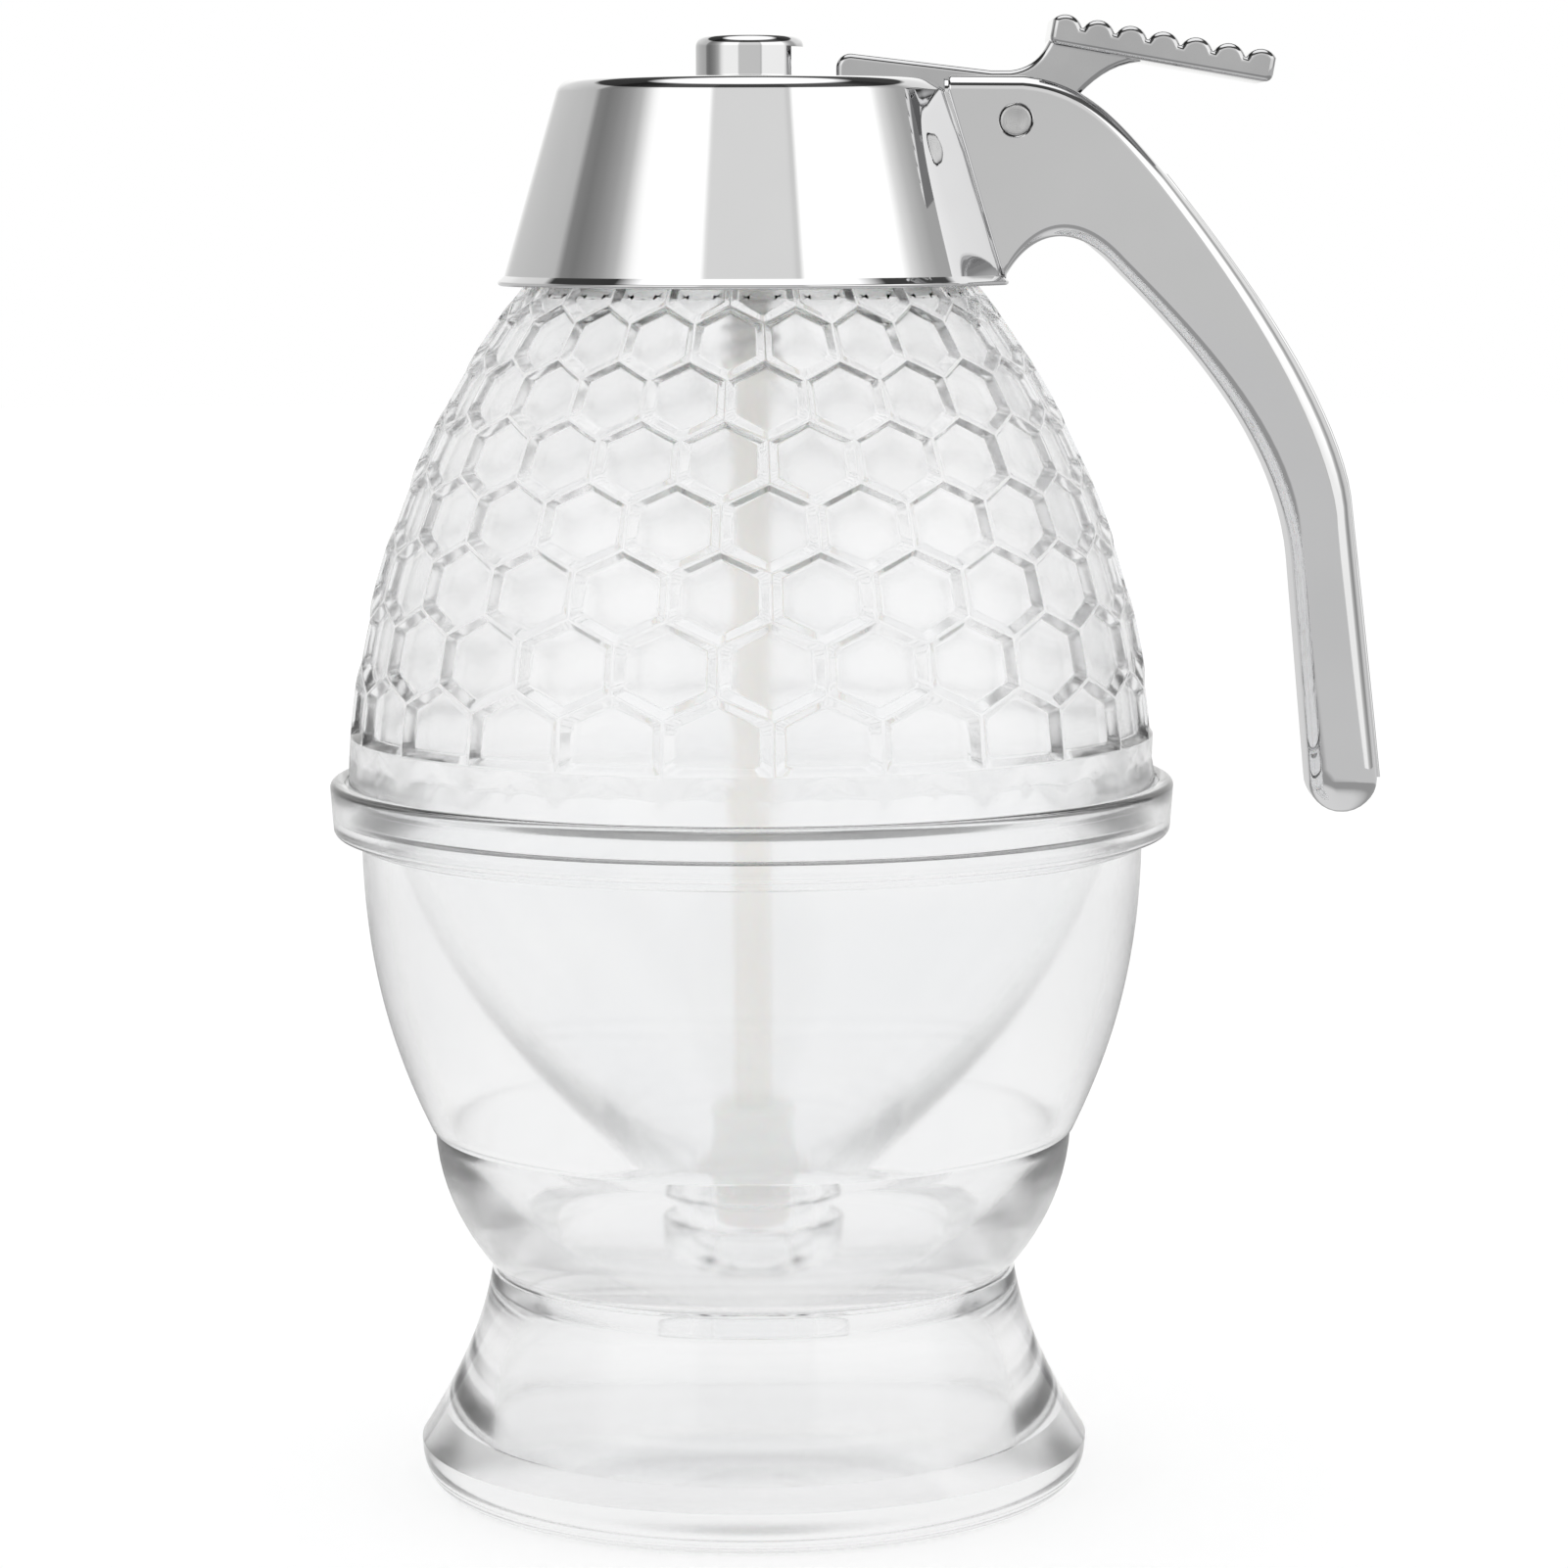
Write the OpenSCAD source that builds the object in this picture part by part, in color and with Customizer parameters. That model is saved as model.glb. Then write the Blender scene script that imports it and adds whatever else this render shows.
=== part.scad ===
// Honey dispenser: a clear honeycomb jar that hangs in a clear stand.  A sprung
// plunger closes the outlet, and a thumb lever in the cap's handle lifts it.
// Millimetres, +Z up.  The origin is on the jar's axis at the ground, and the
// handle points along +X.

/* [Stand] */
// Radius at the widest part of the foot
foot_r = 38.9; // [38:0.1:41]
// How far the ground face lies inside the foot's widest part
foot_tuck = 2.7; // [1.5:0.1:4]
// Height of the bonded base plate's side
base_h = 5.2; // [4:0.1:6.5]
// How far the base plate's raised floor stands above its side
floor_step = 0.8; // [0.5:0.1:1.5]
// Thickness of the skirt's wall where it stands on the base plate
skirt_wall = 6.62; // [6:0.01:8]
// Height of the waist seam
waist_z = 25.2; // [23:0.1:27]
// Outside radius at the waist
waist_r = 30.4; // [29.5:0.1:31.5]
// Thickness of the wall at the waist
waist_wall = 6; // [5:0.1:8]
// Height of the ledge round the bowl
ledge_z = 42; // [40:0.1:44]
// Outside radius of the bowl at the ledge
ledge_r = 37.2; // [36.5:0.1:38.2]
// Thickness of the bowl's wall
bowl_wall = 2.2; // [1.8:0.1:2.8]
// Thickness of the rim ring round the jar's flange
rim_wall = 1.75; // [1.5:0.05:3]
// How far the rim ring stands out from the bowl
rim_out = 3.6; // [3.2:0.1:4.4]
// Height of the rim ring
rim_h = 6.2; // [5.5:0.1:7.5]
// Height of the rim's top above the ground
stand_h = 82.6; // [80:0.1:86]
// Depth of the socket that takes the jar's flange
socket_depth = 4.2; // [3.4:0.1:4.8]

/* [Jar] */
// Outside radius of the jar at the dome's base
jar_r = 46.6; // [44:0.1:48]
// Thickness of the flange under the dome
flange_h = 1.9; // [1.5:0.1:2.6]
// Wall of the lower jar
funnel_wall = 2; // [1.6:0.1:2.6]
// Depth of the lower jar, from its flange to the nozzle
funnel_h = 47.3; // [44:0.1:50]
// Radius of the nozzle's body
nozzle_r = 9.25; // [9:0.05:11]
// Height of the nozzle
nozzle_h = 9.5; // [8.5:0.1:11]
// How far the nozzle's flange stands out from its body
nozzle_lip = 1.15; // [0.6:0.05:2]
// How far the drip ring stands out from the nozzle's body
drip_out = 1.65; // [1:0.05:2.5]
// Height of the drip ring
drip_h = 5.6; // [4.5:0.1:6.5]
// Radius of the outlet bore
outlet_r = 4.8; // [4.5:0.05:5.2]
// Height of the dome, from its base to its shoulder
dome_h = 59.3; // [56:0.1:66]
// Height of the dome's full curve as a share of the dome's height
dome_fullness = 1.3; // [1.26:0.01:1.36]
// Dome wall under the ribs
dome_wall = 2.7; // [2.2:0.1:3.2]
// Outside radius of the neck
neck_r = 19.6; // [18.5:0.1:19.8]
// Height of the neck
neck_h = 11.9; // [11:0.1:11.9]
// Wall of the neck
neck_wall = 2; // [1.5:0.1:2.5]
// How far the neck's thread stands out
thread_h = 1; // [0.6:0.1:1]
// Rise of the thread in one turn
thread_pitch = 3; // [2.5:0.1:3.5]

/* [Honeycomb] */
// Cells round the dome
cells = 24; // [20:1:28]
// Full rows of cells under the half row at the shoulder
rows = 7; // [6:1:8]
// Height of the plain band above the flange
band_h = 2.4; // [1.5:0.1:3]
// How much of the row spacing grows towards the base
row_growth = 0.206; // [0.1:0.01:0.3]
// Depth of a cell's floor under its ribs
cell_depth = 0.95; // [0.5:0.05:1.2]
// Size of a cell's floor as a share of the cell
cell_floor = 0.79; // [0.7:0.01:0.88]
// Turn of the pattern about the jar's axis, in degrees
cell_turn = 3.3; // [0:0.1:7.5]

/* [Cap] */
// Height of the cap's shell
cap_h = 23.3; // [22.8:0.1:24.5]
// How far the cap's lower edge reaches past the dome's shoulder
cap_lap = 3; // [2.6:0.1:4]
// How much the cap's radius narrows to its top
cap_taper = 6.8; // [5:0.1:7.2]
// Wall of the cap
cap_wall = 1.6; // [1.2:0.1:1.8]
// How far the bead at the lower edge stands out
cap_bead = 0.45; // [0.3:0.05:0.8]
// Rounding of the cap's top edge
cap_round = 0.9; // [0.5:0.1:1.5]
// Radius of the boss over the rod's head
boss_r = 6.15; // [5.9:0.05:7]
// Height of the boss above the cap's top
boss_h = 4.9; // [4.8:0.1:6]
// Rounding of the boss's top edge
boss_round = 1.3; // [0.8:0.1:1.5]
// Wall of the boss
boss_wall = 1.4; // [1:0.05:1.5]
// Wall of the threaded liner
liner_wall = 1.4; // [1:0.1:1.5]
// Thickness of the liner's web over the neck
liner_web = 1.8; // [1.4:0.1:1.8]
// Depth of the rod guide's hub under the web
hub_drop = 2.4; // [1.5:0.1:3.5]
// Radius of the rod guide's hub
hub_r = 4.6; // [4.2:0.1:5.5]
// Thickness of the sealing ring
gasket_h = 1; // [0.8:0.1:1.4]

/* [Handle] */
// Thickness of the handle at the cap
handle_t = 13; // [11.5:0.1:14]
// Thickness of the grip
grip_t = 11.6; // [10.8:0.1:13]
// Reach of the grip's lower end from the jar's axis
grip_reach = 72.1; // [71:0.1:75]
// Height of the handle, from the grip's lower end to its top
handle_h = 84.6; // [80:0.1:90]
// Height of the bend above the grip's lower end
bend_h = 36.6; // [30:0.1:44]
// Width of the grip from front to back
grip_d = 7.9; // [7:0.1:9]
// Rounding of the handle's edges at the cap
handle_round = 1.7; // [1:0.1:2.5]
// Width of the cover strip in the handle's back
strip_w = 5.4; // [4:0.1:5.6]
// Thickness of the cover strip
strip_t = 1.4; // [1:0.1:1.8]
// How far the cover strip stands out of the back
strip_proud = 0.45; // [0.1:0.05:0.6]

/* [Lever] */
// Width of the lever's arm
lever_w = 7.2; // [6.4:0.1:7.4]
// Width of the thumb pad
pad_w = 13; // [11:0.1:16]
// Number of grip ribs on the pad
pad_ribs = 7; // [5:1:8]
// Spacing of the grip ribs
pad_pitch = 3.74; // [3.4:0.01:3.9]
// Radius of one grip rib
rib_r = 1.95; // [1.8:0.05:2.1]
// Slope of the pad, in degrees
pad_slope = 10; // [6:0.5:12]
// Thickness of the pad under its ribs
pad_t = 2.2; // [1.6:0.1:2.6]
// Distance from the jar's axis to the pivot pin
pivot_x = 30.1; // [29.6:0.1:31]
// Depth of the pivot pin under the cap's top
pivot_drop = 4.8; // [4.3:0.1:5.1]
// Radius of the pivot pin
pin_r = 1.8; // [1.4:0.05:2]
// Radius of the hub round the pin
lever_hub_r = 4.5; // [3.8:0.1:4.8]
// Radius of the fork's rounded contact under the rod's head
fork_r = 1.5; // [1.3:0.05:1.6]

/* [Plunger] */
// Radius of the rod
rod_r = 2.2; // [2:0.05:2.4]
// Radius of the rod's neck between the fork's arms
rod_neck_r = 1.5; // [1.2:0.05:1.6]
// Radius of the rod's head
head_r = 3.6; // [3.2:0.05:4]
// Thickness of the rod's head
head_h = 1.7; // [1.4:0.1:1.8]
// Radius of the collar under the spring
collar_r = 3.5; // [3.4:0.05:4]
// Thickness of the collar
collar_h = 2.1; // [1.6:0.1:2.6]
// Height of the room for the spring, from the collar to the guide
spring_room = 20.4; // [17:0.1:24]
// How much the stopper's sealing cone widens
cone_w = 2.5; // [2:0.1:2.7]
// Radius of the stopper's sleeve at its top
sleeve_r = 4.6; // [4.2:0.1:5]
// Length of the stopper's sleeve
sleeve_h = 7.2; // [6:0.1:8]
// Height of the sealing cone's lower end above the nozzle's lower end
seat_h = 10.5; // [10:0.1:11]
// Height of the sealing cone
cone_h = 4.4; // [4:0.1:5]
// Gap round the stopper's tip in the outlet
tip_play = 0.4; // [0.3:0.05:0.6]
// Length of the stopper's tip
tip_h = 5.9; // [4.5:0.1:7]
// How deep the rod's end sits in the stopper
rod_depth = 8; // [6:0.1:10]

/* [Spring] */
// Turns of the return spring
spring_turns = 9; // [7:1:10]
// Radius of the spring's wire
wire_r = 0.35; // [0.3:0.01:0.4]
// Gap between the spring and the rod
coil_play = 0.5; // [0.4:0.05:0.6]

/* [Fits] */
// Gap between pieces that come apart
loose_gap = 0.3; // [0.25:0.01:0.35]
// Radial gap of running and bonded fits
fit_gap = 0.08; // [0.04:0.01:0.1]
// Play beside the lever in its slot
slot_play = 0.3; // [0.25:0.01:0.4]

/* [Hidden] */
// smoothness of the round pieces, and points along one outline curve
$fn = 96;
curve_steps = 8;

// stand
floor_z = base_h + floor_step;
skirt_inner_r = foot_r - skirt_wall;
waist_bore_r = waist_r - waist_wall;
skirt_neck_z = waist_z - 3.7;
skirt_neck_r = waist_bore_r + 1.9;
seam_lip = 0.3;
flange_r = jar_r - 0.1;
socket_z = stand_h - socket_depth;
socket_r = flange_r + 1.5 * loose_gap;
rim_r = socket_r + rim_wall;
rim_low_z = stand_h - rim_h;
rim_draft = 0.35;
rim_round = 0.8;
bowl_r = rim_r - rim_out;
cup_inner_r = bowl_r - bowl_wall;
step_h = 1.2;
step_r = bowl_r + 0.9;
bulge_w = bowl_r - ledge_r;
bulge_h = rim_low_z - step_h - ledge_z;

// jar
flange_z = socket_z + loose_gap;
dome_base_z = flange_z + flange_h;
shoulder_z = dome_base_z + dome_h;
nozzle_top_z = flange_z - funnel_h;
nozzle_z = nozzle_top_z - nozzle_h;
nozzle_flange_r = nozzle_r + nozzle_lip;
drip_r = nozzle_r + drip_out;
funnel_r = cup_inner_r - 2 * loose_gap;
funnel_low_r = nozzle_r - 0.65;
funnel_low_z = nozzle_top_z + 2;
funnel_span = flange_z - funnel_low_z;
flange_round = 0.4;
tip_r = outlet_r - tip_play;
stopper_r = tip_r + 0.1 + cone_w;
cone_z = nozzle_z + seat_h;
cone_top_z = cone_z + cone_h;
plug_top_z = cone_z + 1.6;
seat_gap = loose_gap * 1.15;
neck_top_z = shoulder_z + neck_h;
bore_r = neck_r - neck_wall;

// honeycomb: the half row is centred just under the shoulder, and the spacing
// of the rows below it grows as the dome widens
half_turn = 360 / cells / 2;
band_z = dome_base_z + band_h;
first_row_z = shoulder_z - 0.6;
last_row_z = dome_base_z + 10.2;
row_span = first_row_z - last_row_z;
dome_curve_h = dome_h * dome_fullness;
dome_p = 1.935;
dome_q = 1.522;
cut_drop = 2.2;

// cap
cap_r = dome_radius(shoulder_z) + cap_lap;
cap_top_r = cap_r - cap_taper;
cap_z = shoulder_z - 0.7;
cap_top_z = cap_z + cap_h;
plate_z = cap_top_z - cap_wall;
cone_slope = (cap_r - cap_top_r) / cap_h;
boss_top_z = cap_top_z + boss_h;
boss_bore_r = boss_r - boss_wall;
boss_ceiling_z = boss_top_z - 1;
liner_z = shoulder_z + 0.4;
web_z = neck_top_z + loose_gap + gasket_h - 0.1;
liner_top_z = web_z + liner_web;
liner_bore_r = neck_r + thread_h + loose_gap;
liner_flange_h = 1.2;
hub_z = web_z - hub_drop;

// lever, plunger and spring
slot_w = lever_w + 2 * slot_play;
pivot_z = cap_top_z - pivot_drop;
pivot = [pivot_x, pivot_z];
head_z = plate_z;
fork_z = head_z - 0.2 - fork_r;
head_top_z = head_z + head_h;
lift = boss_ceiling_z - head_top_z - 0.2;
arm_low_z = fork_z - fork_r + 0.2;
slot_low_z = pivot_z - lever_hub_r - 0.8;
stopper_top_z = cone_top_z + sleeve_h;
rod_low_z = stopper_top_z - rod_depth;
tip_z = cone_z - tip_h;
collar_z = hub_z - spring_room;
coil_r = rod_r + coil_play + wire_r;
spring_low_z = collar_z + wire_r + 0.02;
spring_top_z = hub_z - wire_r - 0.02;
spring_pitch = (spring_top_z - spring_low_z) / spring_turns;
RING_SIDES = 6;
RINGS_PER_TURN = 8;

// ---- helpers ---------------------------------------------------------------

function curve_at(a, b, c, d, t) =
    pow(1 - t, 3) * a + 3 * pow(1 - t, 2) * t * b + 3 * (1 - t) * t * t * c + pow(t, 3) * d;

// Points of a smooth curve from a to d, steered by b and c, without its last point.
function curve(a, b, c, d, steps = curve_steps) =
    [for (i = [0 : steps - 1]) curve_at(a, b, c, d, i / steps)];

// Points of an arc about a centre, from one angle to another.
function arc(centre, r, from, to, steps = 5) =
    [for (i = [0 : steps]) let (a = from + (to - from) * i / steps) centre + r * [cos(a), sin(a)]];

function flip(list) = [for (i = [len(list) - 1 : -1 : 0]) list[i]];

module revolve(points) {
    rotate_extrude() polygon(points);
}

// Middle of a ring of points.
function middle(ring) = [for (p = ring) 1] * ring / len(ring);

// A smooth body through closed rings of points, with a fan of triangles over each
// end.  Seen along the way from the first ring to the last, each runs anticlockwise.
module loft(sections) {
    count = len(sections);
    sides = len(sections[0]);
    total = count * sides;
    points = concat([for (s = sections) each s], [middle(sections[0]), middle(sections[count - 1])]);
    walls = [for (i = [0 : count - 2], j = [0 : sides - 1])
        let (a = i * sides + j, b = i * sides + (j + 1) % sides)
        each [[a, b, a + sides], [b, b + sides, a + sides]]];
    first = [for (j = [0 : sides - 1]) [(j + 1) % sides, j, total]];
    last = [for (j = [0 : sides - 1]) [total - sides + j, total - sides + (j + 1) % sides, total + 1]];
    polyhedron(points, concat(first, walls, last), convexity = 8);
}

// ---- stand -----------------------------------------------------------------

module stand_base() {
    floor_r = skirt_inner_r - fit_gap;
    side = curve([foot_r - foot_tuck, 0], [foot_r - foot_tuck / 3, base_h * 0.1],
                 [foot_r, base_h * 0.45], [foot_r, base_h]);
    color([0.93, 0.94, 0.95, 0.5])
        revolve(concat([[0, 0]], side,
            [[foot_r, base_h], [floor_r, base_h], [floor_r, floor_z], [0, floor_z]]));
}

module stand_foot() {
    skirt_w = foot_r - waist_r;
    skirt_h = waist_z - base_h;
    outer = curve([foot_r, base_h], [foot_r - skirt_w * 0.4, base_h + skirt_h * 0.265],
                  [waist_r + skirt_w * 0.14, waist_z - skirt_h * 0.37], [waist_r + 0.1, waist_z]);
    inner = curve([skirt_neck_r, skirt_neck_z], [waist_bore_r + 0.5, skirt_neck_z + 1.6],
                  [waist_bore_r, waist_z - 1], [waist_bore_r, waist_z]);
    color([0.93, 0.94, 0.95, 0.5])
        revolve(concat(outer, [[waist_r + 0.1, waist_z], [waist_bore_r, waist_z]],
            flip(inner), [[skirt_inner_r, floor_z], [skirt_inner_r, base_h]]));
}

// The bowl with its rim ring and socket; it stands on the foot at the waist.
module stand_cup() {
    low_w = ledge_r - waist_r;
    low_h = ledge_z - waist_z;
    low_bulge = curve([waist_r - seam_lip, waist_z + 0.4], [waist_r + low_w * 0.41, waist_z + low_h * 0.23],
                      [ledge_r - 0.6, ledge_z - low_h * 0.45], [ledge_r - 0.2, ledge_z - 0.4], 6);
    bulge = curve([ledge_r + 0.2, ledge_z], [ledge_r + bulge_w * 0.506, ledge_z + bulge_h * 0.235],
                  [bowl_r - 0.2, ledge_z + bulge_h * 0.542], [bowl_r, rim_low_z - step_h]);
    rim_low_r = rim_r - rim_draft;
    rim = concat(
        [[bowl_r, rim_low_z - step_h], [step_r - 0.3, rim_low_z - step_h + 0.2],
         [step_r, rim_low_z - step_h + 0.5], [step_r, rim_low_z]],
        arc([rim_low_r - rim_round, rim_low_z + rim_round], rim_round, -90, 0),
        arc([rim_r - rim_round, stand_h - rim_round], rim_round, 0, 90),
        [[socket_r + 0.3, stand_h], [socket_r, stand_h - 0.3], [socket_r, socket_z]]);
    inside = concat(
        curve([cup_inner_r, socket_z], [cup_inner_r - 0.2, ledge_z + bulge_h * 0.527],
              [ledge_r + bulge_w * 0.215, ledge_z + bulge_h * 0.256], [ledge_r - bowl_wall, ledge_z]),
        curve([ledge_r - bowl_wall, ledge_z], [ledge_r - bowl_wall - 0.8, ledge_z - low_h * 0.39],
              [waist_bore_r + low_w * 0.65, waist_z + low_h * 0.25],
              [waist_bore_r, waist_z + 0.8], 6));
    color([0.93, 0.94, 0.95, 0.5])
        revolve(concat([[waist_r - seam_lip, waist_z]], low_bulge,
            [[ledge_r - 0.2, ledge_z - 0.4]], bulge, rim, inside,
            [[waist_bore_r, waist_z + 0.8], [waist_bore_r, waist_z]]));
}

// ---- jar -------------------------------------------------------------------

// Radius of the stopper's seat, which follows its cone at the seat's gap.
function seat_r(z) = tip_r + 0.1 + (stopper_r - tip_r - 0.1) * (z - cone_z) / cone_h + seat_gap;

// The smooth lower jar: a flange that hangs in the stand's socket and a bowl
// that narrows to the nozzle's seat.
module jar_funnel() {
    mouth_r = funnel_r - funnel_wall;
    outer = curve([funnel_r, flange_z], [funnel_r * 0.922, flange_z - funnel_span * 0.335],
                  [funnel_r * 0.638, funnel_low_z + funnel_span * 0.311],
                  [funnel_low_r, funnel_low_z], 10);
    inner = curve([mouth_r, dome_base_z], [mouth_r * 0.926, flange_z - funnel_span * 0.313],
                  [mouth_r * 0.628, funnel_low_z + funnel_span * 0.358],
                  [stopper_r + 1, cone_top_z + 0.5], 10);
    color([0.94, 0.95, 0.96, 0.45])
        revolve(concat(
            [[flange_r - flange_round, flange_z], [flange_r, flange_z + flange_round],
             [flange_r, dome_base_z]],
            inner,
            [[stopper_r + 1, cone_top_z + 0.5], [seat_r(cone_top_z), cone_top_z],
             [seat_r(plug_top_z), plug_top_z], [seat_r(plug_top_z), nozzle_top_z],
             [funnel_low_r, nozzle_top_z]],
            flip(concat(outer, [[funnel_low_r, funnel_low_z]]))));
}

// The clear nozzle bonded under the lower jar, with the stopper's seat and bore.
module outlet_nozzle() {
    round_r = 0.7;
    drip_top_z = nozzle_z + drip_h;
    plug_r = seat_r(plug_top_z) - fit_gap;
    color([0.93, 0.94, 0.95, 0.55])
        revolve(concat(
            [[outlet_r, nozzle_z + 0.5], [outlet_r + 0.5, nozzle_z]],
            arc([drip_r - round_r, nozzle_z + round_r], round_r, -90, 0),
            arc([drip_r - round_r, drip_top_z - round_r], round_r, 0, 90),
            [[nozzle_r, drip_top_z], [nozzle_r, nozzle_top_z - 0.6],
             [nozzle_flange_r, nozzle_top_z - 0.6], [nozzle_flange_r, nozzle_top_z],
             [plug_r, nozzle_top_z], [plug_r, plug_top_z - fit_gap],
             [seat_r(cone_z), cone_z], [outlet_r, cone_z - 0.1]]));
}

// Radius of the dome's rib crests at a height.
function dome_radius(z) =
    jar_r * pow(1 - pow(max(0, z - dome_base_z) / dome_curve_h, dome_p), 1 / dome_q);

function row_z(i) =
    let (s = i / rows) first_row_z - row_span * ((1 - row_growth) * s + row_growth * s * s);

// The two heights of the zigzag between row i and the row below it.
function zig_high(i) = row_z(i) - (row_z(i) - row_z(i + 1)) / 3;
function zig_low(i) = row_z(i) - (row_z(i) - row_z(i + 1)) * 2 / 3;

// Height of corner j on ring t: ring 0 is the shoulder, and the last two rings
// are the plain band's edges.
function ring_z(t, j) =
    t == 0 ? shoulder_z
    : t == rows + 2 ? band_z
    : t == rows + 3 ? dome_base_z
    : (j + t) % 2 == 0 ? zig_high(t - 1) : zig_low(t - 1);

function at_angle(steps, r, z) =
    let (a = cell_turn - 90 + steps * half_turn) [r * cos(a), r * sin(a), z];

// Middle height of the cells in row i.
function cell_mid(i) = i == 0 ? (shoulder_z + zig_low(0)) / 2 : row_z(i);

// One corner of a cell's sunken floor: the crest corner drawn in to the middle.
function floor_point(i, k, dj, t) =
    let (c = 2 * k + i % 2,
         crest = ring_z(t, (c + dj + 2 * cells) % (2 * cells)),
         drawn = cell_mid(i) + cell_floor * (crest - cell_mid(i)),
         z = i == rows ? max(drawn, row_z(i) - cut_drop) : drawn)
    at_angle(c + cell_floor * dj, dome_radius(z) - cell_depth, z);

// The honeycomb: rings of rib corners with one sunken hexagonal floor per cell.
module honeycomb_solid() {
    n = 2 * cells;
    rings = rows + 4;
    crests = [for (t = [0 : rings - 1], j = [0 : n - 1])
        at_angle(j, dome_radius(ring_z(t, j)), ring_z(t, j))];
    floors = [for (i = [0 : rows], k = [0 : cells - 1])
        each [floor_point(i, k, -1, i), floor_point(i, k, 0, i), floor_point(i, k, 1, i),
              floor_point(i, k, 1, i + 1), floor_point(i, k, 0, i + 1), floor_point(i, k, -1, i + 1)]];
    cell_faces = [for (i = [0 : rows], k = [0 : cells - 1])
        let (c = 2 * k + i % 2,
             left = (c + n - 1) % n, mid = c % n, right = (c + 1) % n,
             top = i * n, low = (i + 1) * n,
             rim = [top + left, top + mid, top + right, low + right, low + mid, low + left],
             base = rings * n + (i * cells + k) * 6)
        each concat(
            [for (m = [0 : 5]) each [[rim[m], rim[(m + 1) % 6], base + m],
                                     [rim[(m + 1) % 6], base + (m + 1) % 6, base + m]]],
            [[base, base + 1, base + 2], [base, base + 2, base + 3],
             [base, base + 3, base + 5], [base + 3, base + 4, base + 5]])];
    band_faces = [for (t = [rows + 1 : rows + 2], j = [0 : n - 1])
        let (a = t * n + j, b = t * n + (j + 1) % n)
        each [[a, b, a + n], [b, b + n, a + n]]];
    top_face = [for (j = [n - 1 : -1 : 0]) j];
    base_face = [for (j = [0 : n - 1]) (rings - 1) * n + j];
    polyhedron(concat(crests, floors),
               concat(cell_faces, band_faces, [top_face], [base_face]), convexity = 10);
}

// The upper jar with its threaded neck; the cavity follows the ribs' curve.
module jar_dome() {
    inside_steps = 14;
    shoulder_in_z = shoulder_z - 2.2;
    inside = [for (i = [0 : inside_steps])
        let (z = dome_base_z + (shoulder_in_z - dome_base_z) * i / inside_steps)
        [dome_radius(z) - dome_wall, z]];
    thread = [for (i = [0 : 2])
        let (z = shoulder_z + 2.6 + i * thread_pitch)
        each [[neck_r, z - 1], [neck_r + thread_h, z - 0.4], [neck_r + thread_h, z + 0.4],
              [neck_r, z + 1]]];
    color([0.94, 0.95, 0.96, 0.45])
        difference() {
            union() {
                honeycomb_solid();
                revolve(concat([[0, shoulder_z - 1], [neck_r, shoulder_z - 1]], thread,
                    [[neck_r, neck_top_z - 0.4], [neck_r - 0.4, neck_top_z], [0, neck_top_z]]));
            }
            revolve(concat([[0, dome_base_z - 1], [inside[0][0], dome_base_z - 1]], inside,
                [[bore_r, shoulder_in_z + 1.6], [bore_r, neck_top_z + 1], [0, neck_top_z + 1]]));
        }
}

// ---- cap -------------------------------------------------------------------

function cone_r(z) = cap_r - (z - cap_z) * cone_slope;

// Outline of the cap's outside, from the axis at the lower edge to the boss's foot.
function cap_outside(extra = 0) =
    concat([[cap_r + cap_bead + extra, cap_z], [cap_r + cap_bead + extra, cap_z + 0.6],
            [cone_r(cap_z + 1.1) + extra, cap_z + 1.1]],
           arc([cone_r(cap_top_z) - cap_round + extra, cap_top_z - cap_round], cap_round, 12, 90));

// Space that the lever's arm swings in, through the cap's plate and wall.
module lever_slot() {
    translate([0, -slot_w / 2, arm_low_z - 1.2])
        cube([cap_r, slot_w, cap_top_z - arm_low_z + 2.2]);
    translate([0, -slot_w / 2, plate_z])
        cube([boss_r + 1, slot_w, boss_ceiling_z - plate_z - 0.3]);
}

module cap_shell() {
    color("silver")
        difference() {
            revolve(concat(
                [[cap_r - cap_wall, cap_z]], cap_outside(),
                [[boss_r + 0.4, cap_top_z], [boss_r, cap_top_z + 0.4]],
                arc([boss_r - boss_round, boss_top_z - boss_round], boss_round, 0, 90),
                [[0, boss_top_z], [0, boss_ceiling_z], [boss_bore_r, boss_ceiling_z],
                 [boss_bore_r, plate_z], [cone_r(plate_z) - cap_wall, plate_z]]));
            lever_slot();
        }
}

// The white threaded cup inside the cap, with the guide that the rod runs in.
module cap_liner() {
    outer_r = min(liner_bore_r + liner_wall, cone_r(liner_top_z) - cap_wall - fit_gap);
    flange_out_r = cone_r(liner_z + liner_flange_h) - cap_wall - loose_gap;
    color("ivory")
        revolve([[liner_bore_r, liner_z], [flange_out_r, liner_z],
            [flange_out_r, liner_z + liner_flange_h], [outer_r, liner_z + liner_flange_h],
            [outer_r, liner_top_z], [rod_r + fit_gap, liner_top_z], [rod_r + fit_gap, hub_z],
            [hub_r, hub_z], [hub_r, web_z], [liner_bore_r, web_z]]);
}

module cap_gasket() {
    color("whitesmoke")
        translate([0, 0, web_z - gasket_h])
            difference() {
                cylinder(h = gasket_h, r = liner_bore_r - fit_gap);
                translate([0, 0, -1]) cylinder(h = gasket_h + 2, r = bore_r + 0.4);
            }
}

// ---- handle ----------------------------------------------------------------

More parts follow.
